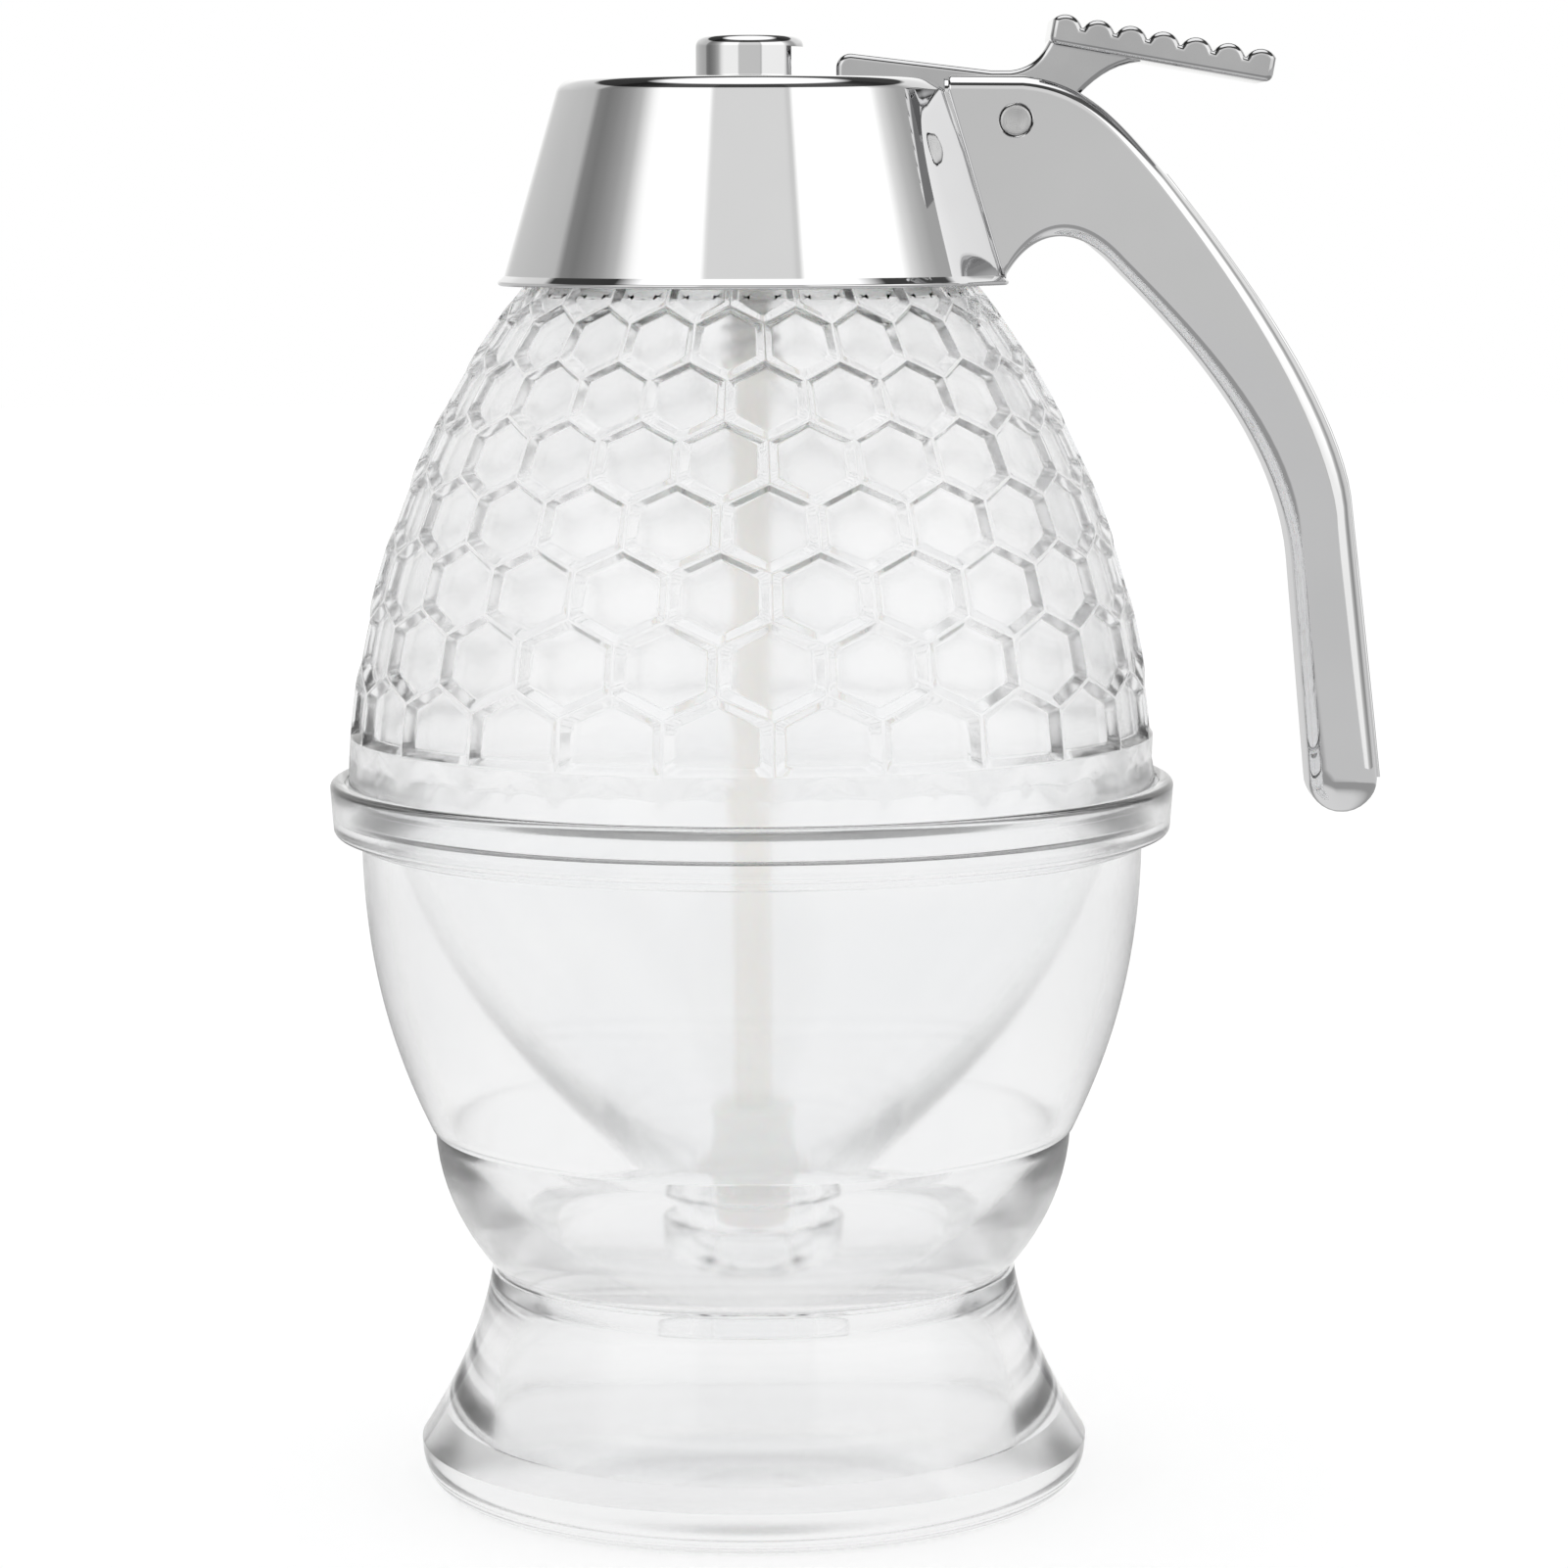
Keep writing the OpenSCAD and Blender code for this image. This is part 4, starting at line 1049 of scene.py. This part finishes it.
    def liner(self) -> bmesh.types.BMesh:
        """The white threaded cup with the rod's guide."""
        flange_z = self.liner_z + 1.2
        flange_r = self.cone_r(flange_z) - self.wall - 0.3
        return lathe([(self.liner_bore_r, self.liner_z), (flange_r - 0.2, self.liner_z),
                      (flange_r, self.liner_z + 0.2), (flange_r, flange_z),
                      *rounded((self.liner_r, flange_z), 0.4, 270, 180),
                      *rounded((self.liner_r, self.liner_top_z), 0.6, 0, 90, 4),
                      *rounded((self.guide_r, self.liner_top_z), 0.4, 90, 180),
                      *rounded((self.guide_r, self.hub_z), 0.3, 180, 270),
                      *rounded((self.hub_r, self.hub_z), 0.5, 270, 360, 4),
                      *rounded((self.hub_r, self.web_z), 0.5, 180, 90, 4),
                      (self.liner_bore_r, self.web_z)], 128)

    def gasket(self) -> bmesh.types.BMesh:
        """The sealing ring on the jar's neck."""
        low, high, in_r, out_r = (self.web_z - self.gasket_h, self.web_z, self.gasket_in_r,
                                  self.liner_bore_r - 0.08)
        corners = (((in_r, low), 180), ((out_r, low), 270), ((out_r, high), 0), ((in_r, high), 90))
        return lathe([p for corner, start in corners for p in rounded(corner, 0.25, start, start + 90)], 128)

    def build(self) -> None:
        """Builds the shell, liner and sealing ring."""
        Piece("chrome_cap", self.shell(), Body.CAP, (PALETTE.chrome,), ("cap_shell",), 30,
              cutters=self.slot_cutters(), weighted=True).place()
        Piece("threaded_liner", self.liner(), Body.CAP, (PALETTE.moulded,), ("cap_liner",)).place()
        Piece("sealing_ring", self.gasket(), Body.CAP, (PALETTE.silicone,), ("cap_gasket",)).place()


# ---- handle --------------------------------------------------------------------


@dataclass
class Handle:
    """The arched chrome handle, its cover strip and the lever's pivot pin."""

    cap: Cap
    pivot: Point = PIVOT
    thick: float = 13.0
    grip_thick: float = 11.6
    top_z: float = 163.0
    arch_z: float = 139.6
    knee_out: Point = (46.7, 152.1)
    knee_in: Point = (42.0, 140.8)
    bend_out: Point = (68.5, 115.0)
    bend_in: Point = (61.9, 108.0)
    reach: float = 72.1
    grip_d: float = 7.9
    tip_z: float = 82.35
    rounding: float = 1.7
    strip_w: float = 5.4
    strip_t: float = 1.4
    strip_proud: float = 0.45
    strip_start: float = 2.02
    pin_r: float = 1.8
    slot_low_z: float = 152.4
    slot_end_x: float = 40.1
    root_groove: float = 0.35
    corner_facets: int = 6

    def outer_edge(self, u: float) -> Point:
        """The handle's outer edge, from 1 at the cap to 4 at the grip's end."""
        x, z = self.pivot[0], self.top_z - 0.2
        (knee_x, knee_z), (bend_x, bend_z) = self.knee_out, self.bend_out
        if u < 2:
            return bezier((x, z), (x + 7.4, z - 0.4), (knee_x - 5.4, knee_z + 6.3), self.knee_out, u - 1)
        if u < 3:
            return bezier(self.knee_out, (knee_x + 7.1, knee_z - 8.8), (bend_x - 2.4, bend_z + 12.5),
                          self.bend_out, u - 2)
        return bend_x * (4 - u) + self.reach * (u - 3), bend_z * (4 - u) + self.tip_z * (u - 3)

    def inner_edge(self, u: float) -> Point:
        """The handle's inner edge, over the same range."""
        x, z = self.cap.low_r, self.arch_z
        (knee_x, knee_z), (bend_x, bend_z) = self.knee_in, self.bend_in
        if u < 2:
            return bezier((x + 0.3, z), (x + 3, z + 5.4), (knee_x - 5.5, knee_z + 6.2), self.knee_in, u - 1)
        if u < 3:
            return bezier(self.knee_in, (knee_x + 9, knee_z - 9), (bend_x - 1.5, bend_z + 13),
                          self.bend_in, u - 2)
        return (bend_x * (4 - u) + (self.reach - self.grip_d) * (u - 3),
                bend_z * (4 - u) + self.tip_z * (u - 3))

    def half_depth(self, u: float) -> float:
        """Half the distance between the two edges."""
        return math.dist(self.outer_edge(u), self.inner_edge(u)) / 2

    def half_thick(self, u: float) -> float:
        """Half the handle's thickness."""
        return (self.thick + (self.grip_thick - self.thick) * eased(u, 1.6, 3)) / 2

    def section(self, u: float, outline: Sequence[Point], drop: float = 0.0) -> list[Vector]:
        """Places a flat outline across the handle.

        Args:
            u: The place along the handle.
            outline: Distance from the middle towards the outer edge, and across the handle.
            drop: How far the section lies below its place.

        Returns:
            The outline's points, in millimetres.
        """
        low, high = Vector(self.inner_edge(u)), Vector(self.outer_edge(u))
        middle, along = (low + high) / 2 - Vector((0, drop)), (high - low).normalized()
        return [Vector((middle.x + along.x * d, y, middle.y + along.y * d)) for d, y in outline]

    def outline(self, u: float, shrink: float = 0.0, seat: float = 0.0) -> Outline:
        """A rounded section with the cover strip's seat in its back.

        Args:
            u: The place along the handle.
            shrink: How much smaller the section is all round.
            seat: Depth of the strip's seat.

        Returns:
            The points of the section.
        """
        half, thick = self.half_depth(u) - shrink, self.half_thick(u) - shrink
        grip_round = self.grip_d * 0.35
        corner = min(self.rounding + (grip_round - self.rounding) * eased(u, 1.9, 3.1),
                     thick * 0.9, half * 0.9)
        width = min(self.strip_w / 2 + 0.08, thick - corner - 0.1)
        points = [(half, -width), (half - seat, -width + 0.02), (half - seat, width - 0.02), (half, width)]
        for quarter in range(4):
            side = 1 if quarter in (0, 3) else -1
            across = 1 if quarter < 2 else -1
            points += rounded((side * half, across * thick), corner, 90 * quarter, 90 * quarter + 90,
                              self.corner_facets)
        return points

    def on_saddle(self, points: Sequence[Vector], out: float) -> list[Vector]:
        """Points of a section slid along X to the cap's saddle.

        Args:
            points: The section's points.
            out: Distance outside the saddle.

        Returns:
            The moved points.
        """
        low, high = self.cap.low_z, self.cap.top_z - self.cap.rounding
        return [Vector((self.cap.saddle_x(min(max(p.z, low), high)) + out, p.y, p.z)) for p in points]

    def bar(self) -> bmesh.types.BMesh:
        """The arched bar, rounded into a groove where it meets the cap."""
        seat, groove = self.strip_t - self.strip_proud, self.root_groove
        root = ((groove, -0.4), (groove, 0.0), (groove * 0.3, groove * 0.35), (0.0, groove))
        rings = [self.on_saddle(self.section(1, self.outline(1, shrink)), out) for shrink, out in root]
        arch = [1.04 + (self.strip_start - 0.02 - 1.04) * i / 26 for i in range(27)]
        rings += [self.section(u, self.outline(u)) for u in arch]
        rings += [self.section(u, self.outline(u, 0, seat))
                  for u in (self.strip_start + (4 - self.strip_start) * i / 40 for i in range(41))]
        half = self.grip_d / 2
        rings += [self.section(4, self.outline(4, half * (1 - math.cos(a))), half * math.sin(a))
                  for a in (math.radians(11 * i) for i in range(1, 8))]
        return loft(rings)

    def cover_strip(self) -> bmesh.types.BMesh:
        """The strip that closes the grip's back."""
        w, edge = self.strip_w / 2, 0.3
        rings = []
        for i in range(41):
            u = self.strip_start + 0.01 + (3.995 - self.strip_start - 0.01) * i / 40
            high = self.half_depth(u) + self.strip_proud
            low = high - self.strip_t + 0.04
            rings.append(self.section(u, [(low, -w), *rounded((high, -w), edge, -90, 0),
                                          *rounded((high, w), edge, 0, 90), (low, w)]))
        return loft(rings)

    def pin(self) -> bmesh.types.BMesh:
        """The pivot pin, with a slightly crowned and dished end."""
        half, r = self.thick / 2 - 0.12, self.pin_r
        end = [(0, -half + 0.12), (r * 0.45, -half + 0.1), (r * 0.72, -half),
               *rounded((r, -half), 0.25, -90, 0)]
        return crosswise([*end, *[(x, -y) for x, y in reversed(end)]], self.pivot)

    def cutters(self) -> list[bmesh.types.BMesh]:
        """The lever's slot and the pin's countersunk bore."""
        half, r, side = self.cap.slot_w / 2, self.pin_r + 0.1, self.thick / 2
        bore = [(0, -side - 1), (r + 1.1, -side - 1), (r, -side + 0.1), (r, side - 0.1),
                (r + 1.1, side + 1), (0, side + 1)]
        return [block((self.cap.top_r - 8, -half, self.slot_low_z), (self.slot_end_x, half, self.top_z + 4)),
                crosswise(bore, self.pivot)]

    def build(self) -> None:
        """Builds the bar, its strip and the pin."""
        Piece("arched_handle", self.bar(), Body.CAP, (PALETTE.chrome,), ("handle",), 34,
              cutters=self.cutters(), weighted=True).place()
        Piece("grip_back_strip", self.cover_strip(), Body.CAP, (PALETTE.chrome,),
              ("handle_back_strip",)).place()
        Piece("pivot_pin_end", self.pin(), Body.CAP, (PALETTE.pin,), ("pivot_pin",)).place()


# ---- lever ---------------------------------------------------------------------


@dataclass
class Lever:
    """The thumb lever: an arm with a fork, a hub on the pin, and a ribbed pad."""

    pivot: Point = PIVOT
    width: float = 7.2
    pad_width: float = 13.0
    ribs: int = 7
    pitch: float = 3.74
    rib_r: float = 1.95
    slope: float = 10.0
    pad_t: float = 2.2
    pad_end: float = 1.55
    hub_r: float = 4.5
    fork_r: float = 1.5
    fork_z: float = 159.2
    arm_low_z: float = 157.9
    nose: Point = (11.45, 163.7)
    nose_r: float = 1.6
    rod_neck_r: float = 1.5
    edge: float = 0.75
    bore_r: float = 1.88
    bore_side: float = 9.0

    def at(self, dx: float, dz: float) -> Point:
        """A point given from the pivot."""
        return self.pivot[0] + dx, self.pivot[1] + dz

    def arm(self) -> bmesh.types.BMesh:
        """The arm from the fork over the hub to the pad's neck."""
        bar_top = self.fork_z + self.fork_r - 0.4
        high = math.degrees(math.asin((bar_top - self.fork_z) / self.fork_r))
        low = 360 - math.degrees(math.asin((self.fork_z - self.arm_low_z) / self.fork_r))
        outline = [*arc((0, self.fork_z), self.fork_r, high, low, 10), (self.pivot[0] - 6, self.arm_low_z),
                   *arc(self.pivot, self.hub_r, 228, 345, 12),
                   *curve(self.at(4.6, 0), self.at(7.4, 2.8), self.at(9.9, 6.9), self.at(15.6, 6.6), 12),
                   self.at(15.6, 8.3), self.at(4.9, 10.0),
                   *curve(self.at(4.3, 10.0), self.at(3.3, 7.2), self.at(1.8, 5.7), self.at(-1.2, 5.6), 12),
                   self.at(-2.6, 5.65), *arc(self.nose, self.nose_r, 86, 180, 8),
                   (self.nose[0] - self.nose_r, bar_top)]
        return slab(outline, self.width, self.edge)

    def pad(self) -> bmesh.types.BMesh:
        """The pad with its row of round ribs."""
        length = (self.ribs - 1) * self.pitch + 2 * self.pad_end
        drop = math.sqrt(self.rib_r**2 - (self.pitch / 2) ** 2)
        reach = math.degrees(math.asin(self.pitch / 2 / self.rib_r)) - 7
        end_reach = math.degrees(math.asin(self.pad_end / self.rib_r))
        corner = self.edge + 0.15
        outline = [*rounded((0, -self.pad_t), corner, 180, 270, 4),
                   *rounded((length, -self.pad_t), corner, 270, 360, 4)]
        for i in reversed(range(self.ribs)):
            first = end_reach if i == self.ribs - 1 else reach
            last = end_reach if i == 0 else reach
            outline += arc((self.pad_end + i * self.pitch, -drop), self.rib_r, 90 - first, 90 + last, 10)
        mesh = slab(outline, self.pad_width, self.edge)
        x, z = self.at(4.1, 10.7)
        put(mesh, (x, 0, z), math.radians(self.slope), "Y")
        return mesh

    def build(self) -> None:
        """Builds the lever as one piece."""
        arm, pad = self.arm(), self.pad()
        spare = bpy.data.meshes.new("spare")
        pad.to_mesh(spare)
        pad.free()
        arm.from_mesh(spare)
        bpy.data.meshes.remove(spare)
        low, high = self.fork_z - self.fork_r - 1, self.fork_z + self.fork_r + 2
        gap, side = self.rod_neck_r + 0.4, self.bore_side
        throat = lathe([(0, low), (gap, low), (gap, high), (0, high)], 40, closed=False)
        mouth = block((-self.fork_r - 1, -gap, low), (0.01, gap, high))
        bore = crosswise([(0, -side), (self.bore_r, -side), (self.bore_r, side), (0, side)], self.pivot)
        Piece("thumb_lever_chrome", arm, Body.LEVER, (PALETTE.lever,), ("thumb_lever",), 34,
              cutters=[throat, mouth, bore], weighted=True).place()


# ---- plunger -------------------------------------------------------------------


@dataclass
class Plunger:
    """The plunger: a white rod with its head, spring and stopper."""

    rod_r: float = 2.2
    rod_low_z: float = 36.0
    neck_z: float = 157.4
    neck_r: float = 1.5
    head_z: float = 160.9
    head_top_z: float = 162.6
    head_r: float = 3.6
    collar_low_z: float = 128.1
    collar_z: float = 130.2
    collar_r: float = 3.5
    tip_z: float = 26.5
    tip_r: float = 4.4
    cone_z: float = 32.4
    cone_top_z: float = 36.8
    stopper_r: float = 7.0
    sleeve_r: float = 4.6
    sleeve_lip: float = 0.5
    sleeve_top_z: float = 44.0
    coil_r: float = 3.05
    wire_r: float = 0.35
    spring_low_z: float = 130.57
    spring_top_z: float = 150.23
    spring_turns: int = 9
    turn_facets: int = 28
    guide_z: float = 150.6
    lift: float = 3.62

    def rod(self) -> bmesh.types.BMesh:
        """The rod with its collar and thin neck."""
        r, c = self.rod_r, self.collar_r
        return lathe([(0, self.rod_low_z), (r - 0.3, self.rod_low_z), (r, self.rod_low_z + 0.3),
                      (r, self.collar_low_z - 0.3), (r + 0.3, self.collar_low_z),
                      *rounded((c, self.collar_low_z), 0.3, -90, 0), *rounded((c, self.collar_z), 0.3, 0, 90),
                      (r, self.collar_z), (r, self.neck_z - 0.3), (r - 0.3, self.neck_z),
                      (self.neck_r, self.neck_z), (self.neck_r, self.head_top_z - 0.5),
                      (0, self.head_top_z - 0.5)], 64, closed=False)

    def head(self) -> bmesh.types.BMesh:
        """The head that the lever's fork lifts."""
        r, low, high = self.head_r, self.head_z, self.head_top_z
        return lathe([(0, high - 0.42), (self.neck_r, high - 0.42), (self.neck_r, low),
                      *rounded((r, low), 0.3, -90, 0), *rounded((r, high), 0.45, 0, 90, 4),
                      (0, high)], 64, closed=False)

    def stopper(self) -> bmesh.types.BMesh:
        """The stopper: a tip for the outlet, a sealing cone and a sleeve with a lip."""
        tip, sleeve, cone_top = self.tip_r, self.sleeve_r, self.cone_top_z
        lip = sleeve + self.sleeve_lip * 0.6
        return lathe([(0, self.tip_z), *rounded((tip, self.tip_z), 1.5, -90, 0, 6), (tip, self.cone_z - 0.1),
                      (tip + 0.1, self.cone_z), (self.stopper_r - 0.1, cone_top - 0.3),
                      *arc((self.stopper_r - 0.35, cone_top - 0.05), 0.3, -30, 90, 4),
                      *curve((sleeve + 0.9, cone_top + 0.8), (sleeve + 0.5, cone_top + 1.4),
                             (sleeve, cone_top + 3), (sleeve, self.sleeve_top_z - 1.1), 8),
                      *arc((lip - 0.3, self.sleeve_top_z - 0.7), 0.3, -70, 0, 3),
                      *rounded((lip, self.sleeve_top_z), 0.3, 0, 90), (self.rod_r, self.sleeve_top_z),
                      (self.rod_r, self.rod_low_z + 0.26), (self.rod_r - 0.3, self.rod_low_z - 0.04),
                      (0, self.rod_low_z - 0.04)], 96, closed=False)

    def spring(self) -> bmesh.types.BMesh:
        """The return spring: a ring of wire carried round the rod and upwards."""
        mesh = bmesh.new()
        bmesh.ops.create_circle(mesh, cap_ends=False, radius=self.wire_r * MM, segments=10)
        put(mesh, (self.coil_r, 0, self.spring_low_z), math.pi / 2)
        steps = self.spring_turns * self.turn_facets
        rise = (self.spring_top_z - self.spring_low_z) * MM / steps
        bmesh.ops.spin(mesh, geom=list(mesh.verts) + list(mesh.edges), axis=(0, 0, 1), cent=(0, 0, 0),
                       dvec=(0, 0, rise), angle=FULL_TURN * self.spring_turns, steps=steps, use_merge=False)
        bmesh.ops.holes_fill(mesh, edges=[e for e in mesh.edges if e.is_boundary])
        return tidy(mesh)

    def build(self) -> None:
        """Builds the plunger, and the return spring with a mesh of its own."""
        Piece("plunger_rod_white", self.rod(), Body.PLUNGER, (PALETTE.moulded,), ("plunger_rod",)).place()
        Piece("rod_head_cap", self.head(), Body.PLUNGER, (PALETTE.pin,), ("rod_head",)).place()
        Piece("soft_stopper", self.stopper(), Body.PLUNGER, (PALETTE.silicone,), ("stopper",)).place()
        spring = Piece("return_spring_wire", self.spring(), Body.CAP, (PALETTE.wire,),
                       ("return_spring",)).place()
        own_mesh(spring)


# ---- studio --------------------------------------------------------------------


@dataclass
class Studio:
    """The pale floor, the soft room and the camera."""

    camera_at: tuple[float, float, float] = (3.72, -574.0, 149.6)
    pitch: float = 6.76
    roll: float = -0.15
    lens: float = 114.47
    sensor: float = 36.0
    clip: tuple[float, float] = (0.01, 20.0)
    floor_r: float = 3.0
    floor_drop: float = 0.05
    floor_grey: float = 0.8
    floor_lift: float = 0.24
    floor_through: float = 0.5
    warmth: float = 0.992
    clear_bounces: int = 28
    glossy_bounces: int = 10
    diffuse_bounces: int = 3
    through: float = 0.9
    calm: float = 0.97

    # Brightness of the room as metal mirrors it. Angles run from the way to the camera, to the right.
    bands: tuple[Point, ...] = (
        (-180, 1.35), (-168, 1.2), (-156, 0.9), (-126, 0.72), (-108, 0.64), (-103, 0.3), (-95, 0.25),
        (-87, 0.31), (-78, 0.43), (-70, 0.64), (-61, 1.3), (-55, 1.5), (-25, 1.5), (-22, 0.92),
        (22, 0.92), (25, 0.75), (28, 1.5), (80, 1.5), (86, 1.0), (94, 0.68), (103, 0.5),
        (113, 0.48), (126, 0.93), (150, 1.0), (180, 1.35))
    # The same by the sine of the height angle: a share of the bands, and light of its own overhead.
    climb: tuple[Point, ...] = ((0.0, 0.78), (0.12, 0.8), (0.3, 1.0), (0.57, 1.0), (0.61, 0.07),
                                (0.84, 0.07), (0.9, 0.0))
    roof: tuple[Point, ...] = ((0.84, 0.0), (0.9, 1.5))
    # Brightness of the floor in metal, by distance from the object in metres.
    floor_rings: tuple[Point, ...] = ((0.0, 0.9), (0.1, 0.85), (0.17, 0.4), (0.38, 0.4), (0.5, 0.716),
                                      (3.0, 0.716))

    def camera(self) -> None:
        """The camera at the photograph's viewpoint."""
        data = bpy.data.cameras.new("camera")
        data.lens, data.sensor_width = self.lens, self.sensor
        data.clip_start, data.clip_end = self.clip
        thing = bpy.data.objects.new("camera", data)
        bpy.context.scene.collection.objects.link(thing)
        thing.matrix_world = (Matrix.Translation(Vector(self.camera_at) * MM)
                              @ Matrix.Rotation(math.radians(90 - self.pitch), 4, "X")
                              @ Matrix.Rotation(math.radians(self.roll), 4, "Z"))
        bpy.context.scene.camera = thing

    def room(self) -> None:
        """The room's light: plain on matt skins, banded in metal, calm through plastic, white if seen."""
        world = bpy.data.worlds.new("room")
        bpy.context.scene.world = world
        world.use_nodes = True
        recipe = Recipe(world.node_tree)
        way = recipe.add("SeparateXYZ", Vector=recipe.add("TexCoord").outputs["Generated"]).outputs
        turn = recipe.math("ARCTAN2", way["X"], recipe.math("MULTIPLY", way["Y"], -1.0))
        share = recipe.math("ADD", recipe.math("DIVIDE", turn, FULL_TURN), 0.5)
        layers = [recipe.ramp(share, [(a / 360 + 0.5, (b, b, b * self.warmth)) for a, b in self.bands])]
        layers += [recipe.ramp(way["Z"], [(z, (b, b, b)) for z, b in stops])
                   for stops in (self.climb, self.roof)]
        banded = recipe.add("VectorMath", operation="MULTIPLY_ADD")
        for layer, socket in zip(layers, banded.inputs):
            recipe.join(layer, socket)
        path = recipe.add("LightPath").outputs
        passed = path["Is Transmission Ray"]
        mirrored = recipe.math("SUBTRACT", path["Is Glossy Ray"], recipe.math("MULTIPLY", passed, self.calm))
        calm = recipe.add("Mix", data_type="RGBA")
        recipe.join(mirrored, calm.inputs[0])
        recipe.join(recipe.span(passed, 1.0, self.through), calm.inputs[6])
        recipe.join(banded.outputs[0], calm.inputs[7])
        lit = recipe.add("Background", Color=calm.outputs[2], Strength=1.0)
        white = recipe.add("Background", Color=(1, 1, 1, 1), Strength=1.0)
        recipe.add("OutputWorld", Surface=recipe.blend(lit, white, path["Is Camera Ray"]).outputs[0])

    def floor(self) -> None:
        """The pale floor, white to the camera and with the object's soft shadow."""
        mesh = bmesh.new()
        bmesh.ops.create_circle(mesh, cap_ends=True, radius=self.floor_r, segments=96)
        put(mesh, (0, 0, -self.floor_drop))
        thing = Piece.solid("floor", mesh)
        material = bpy.data.materials.new("pale_floor")
        material.use_nodes = True
        recipe = Recipe(material.node_tree)
        path = recipe.add("LightPath").outputs
        through = recipe.math("MULTIPLY", path["Is Transmission Ray"], self.floor_through)
        seen = recipe.math("ADD", path["Is Camera Ray"], through)
        matt = recipe.add("BsdfDiffuse", Color=(self.floor_grey,) * 3 + (1,))
        lift = recipe.add("Emission", Strength=recipe.math("MULTIPLY", seen, self.floor_lift))
        place = recipe.add("TexCoord").outputs["Object"]
        away = recipe.add("VectorMath", operation="LENGTH", Vector=place).outputs["Value"]
        rings = recipe.ramp(recipe.math("DIVIDE", away, self.floor_r),
                            [(r / self.floor_r, (b, b, b)) for r, b in self.floor_rings])
        mirrored = recipe.add("Emission", Color=rings, Strength=1.0)
        in_metal = recipe.math("SUBTRACT", path["Is Glossy Ray"], path["Is Transmission Ray"])
        recipe.surface(recipe.blend(recipe.blend(matt, lift), mirrored, in_metal))
        thing.data.materials.append(material)

    def light_paths(self) -> None:
        """Lets light pass through all the clear walls, and shows colours as they are."""
        scene = bpy.context.scene
        scene.view_settings.view_transform = "Standard"
        cycles = scene.cycles
        cycles.max_bounces = cycles.transmission_bounces = cycles.transparent_max_bounces = self.clear_bounces
        cycles.glossy_bounces, cycles.diffuse_bounces = self.glossy_bounces, self.diffuse_bounces
        cycles.caustics_reflective, cycles.caustics_refractive = False, True
        cycles.blur_glossy = 0
        cycles.use_denoising = True

    def build(self) -> None:
        """Builds the studio."""
        self.camera()
        self.room()
        self.floor()
        self.light_paths()


def main() -> None:
    """Builds the studio and every sub-assembly in order."""
    logging.basicConfig(level=logging.INFO, format="%(name)s: %(message)s")
    Studio().build()
    cap = Cap()
    for assembly in (Stand(), Jar(), cap, Handle(cap), Lever(), Plunger()):
        LOG.info("building %s", type(assembly).__name__)
        assembly.build()


if __name__ == "__main__":
    main()
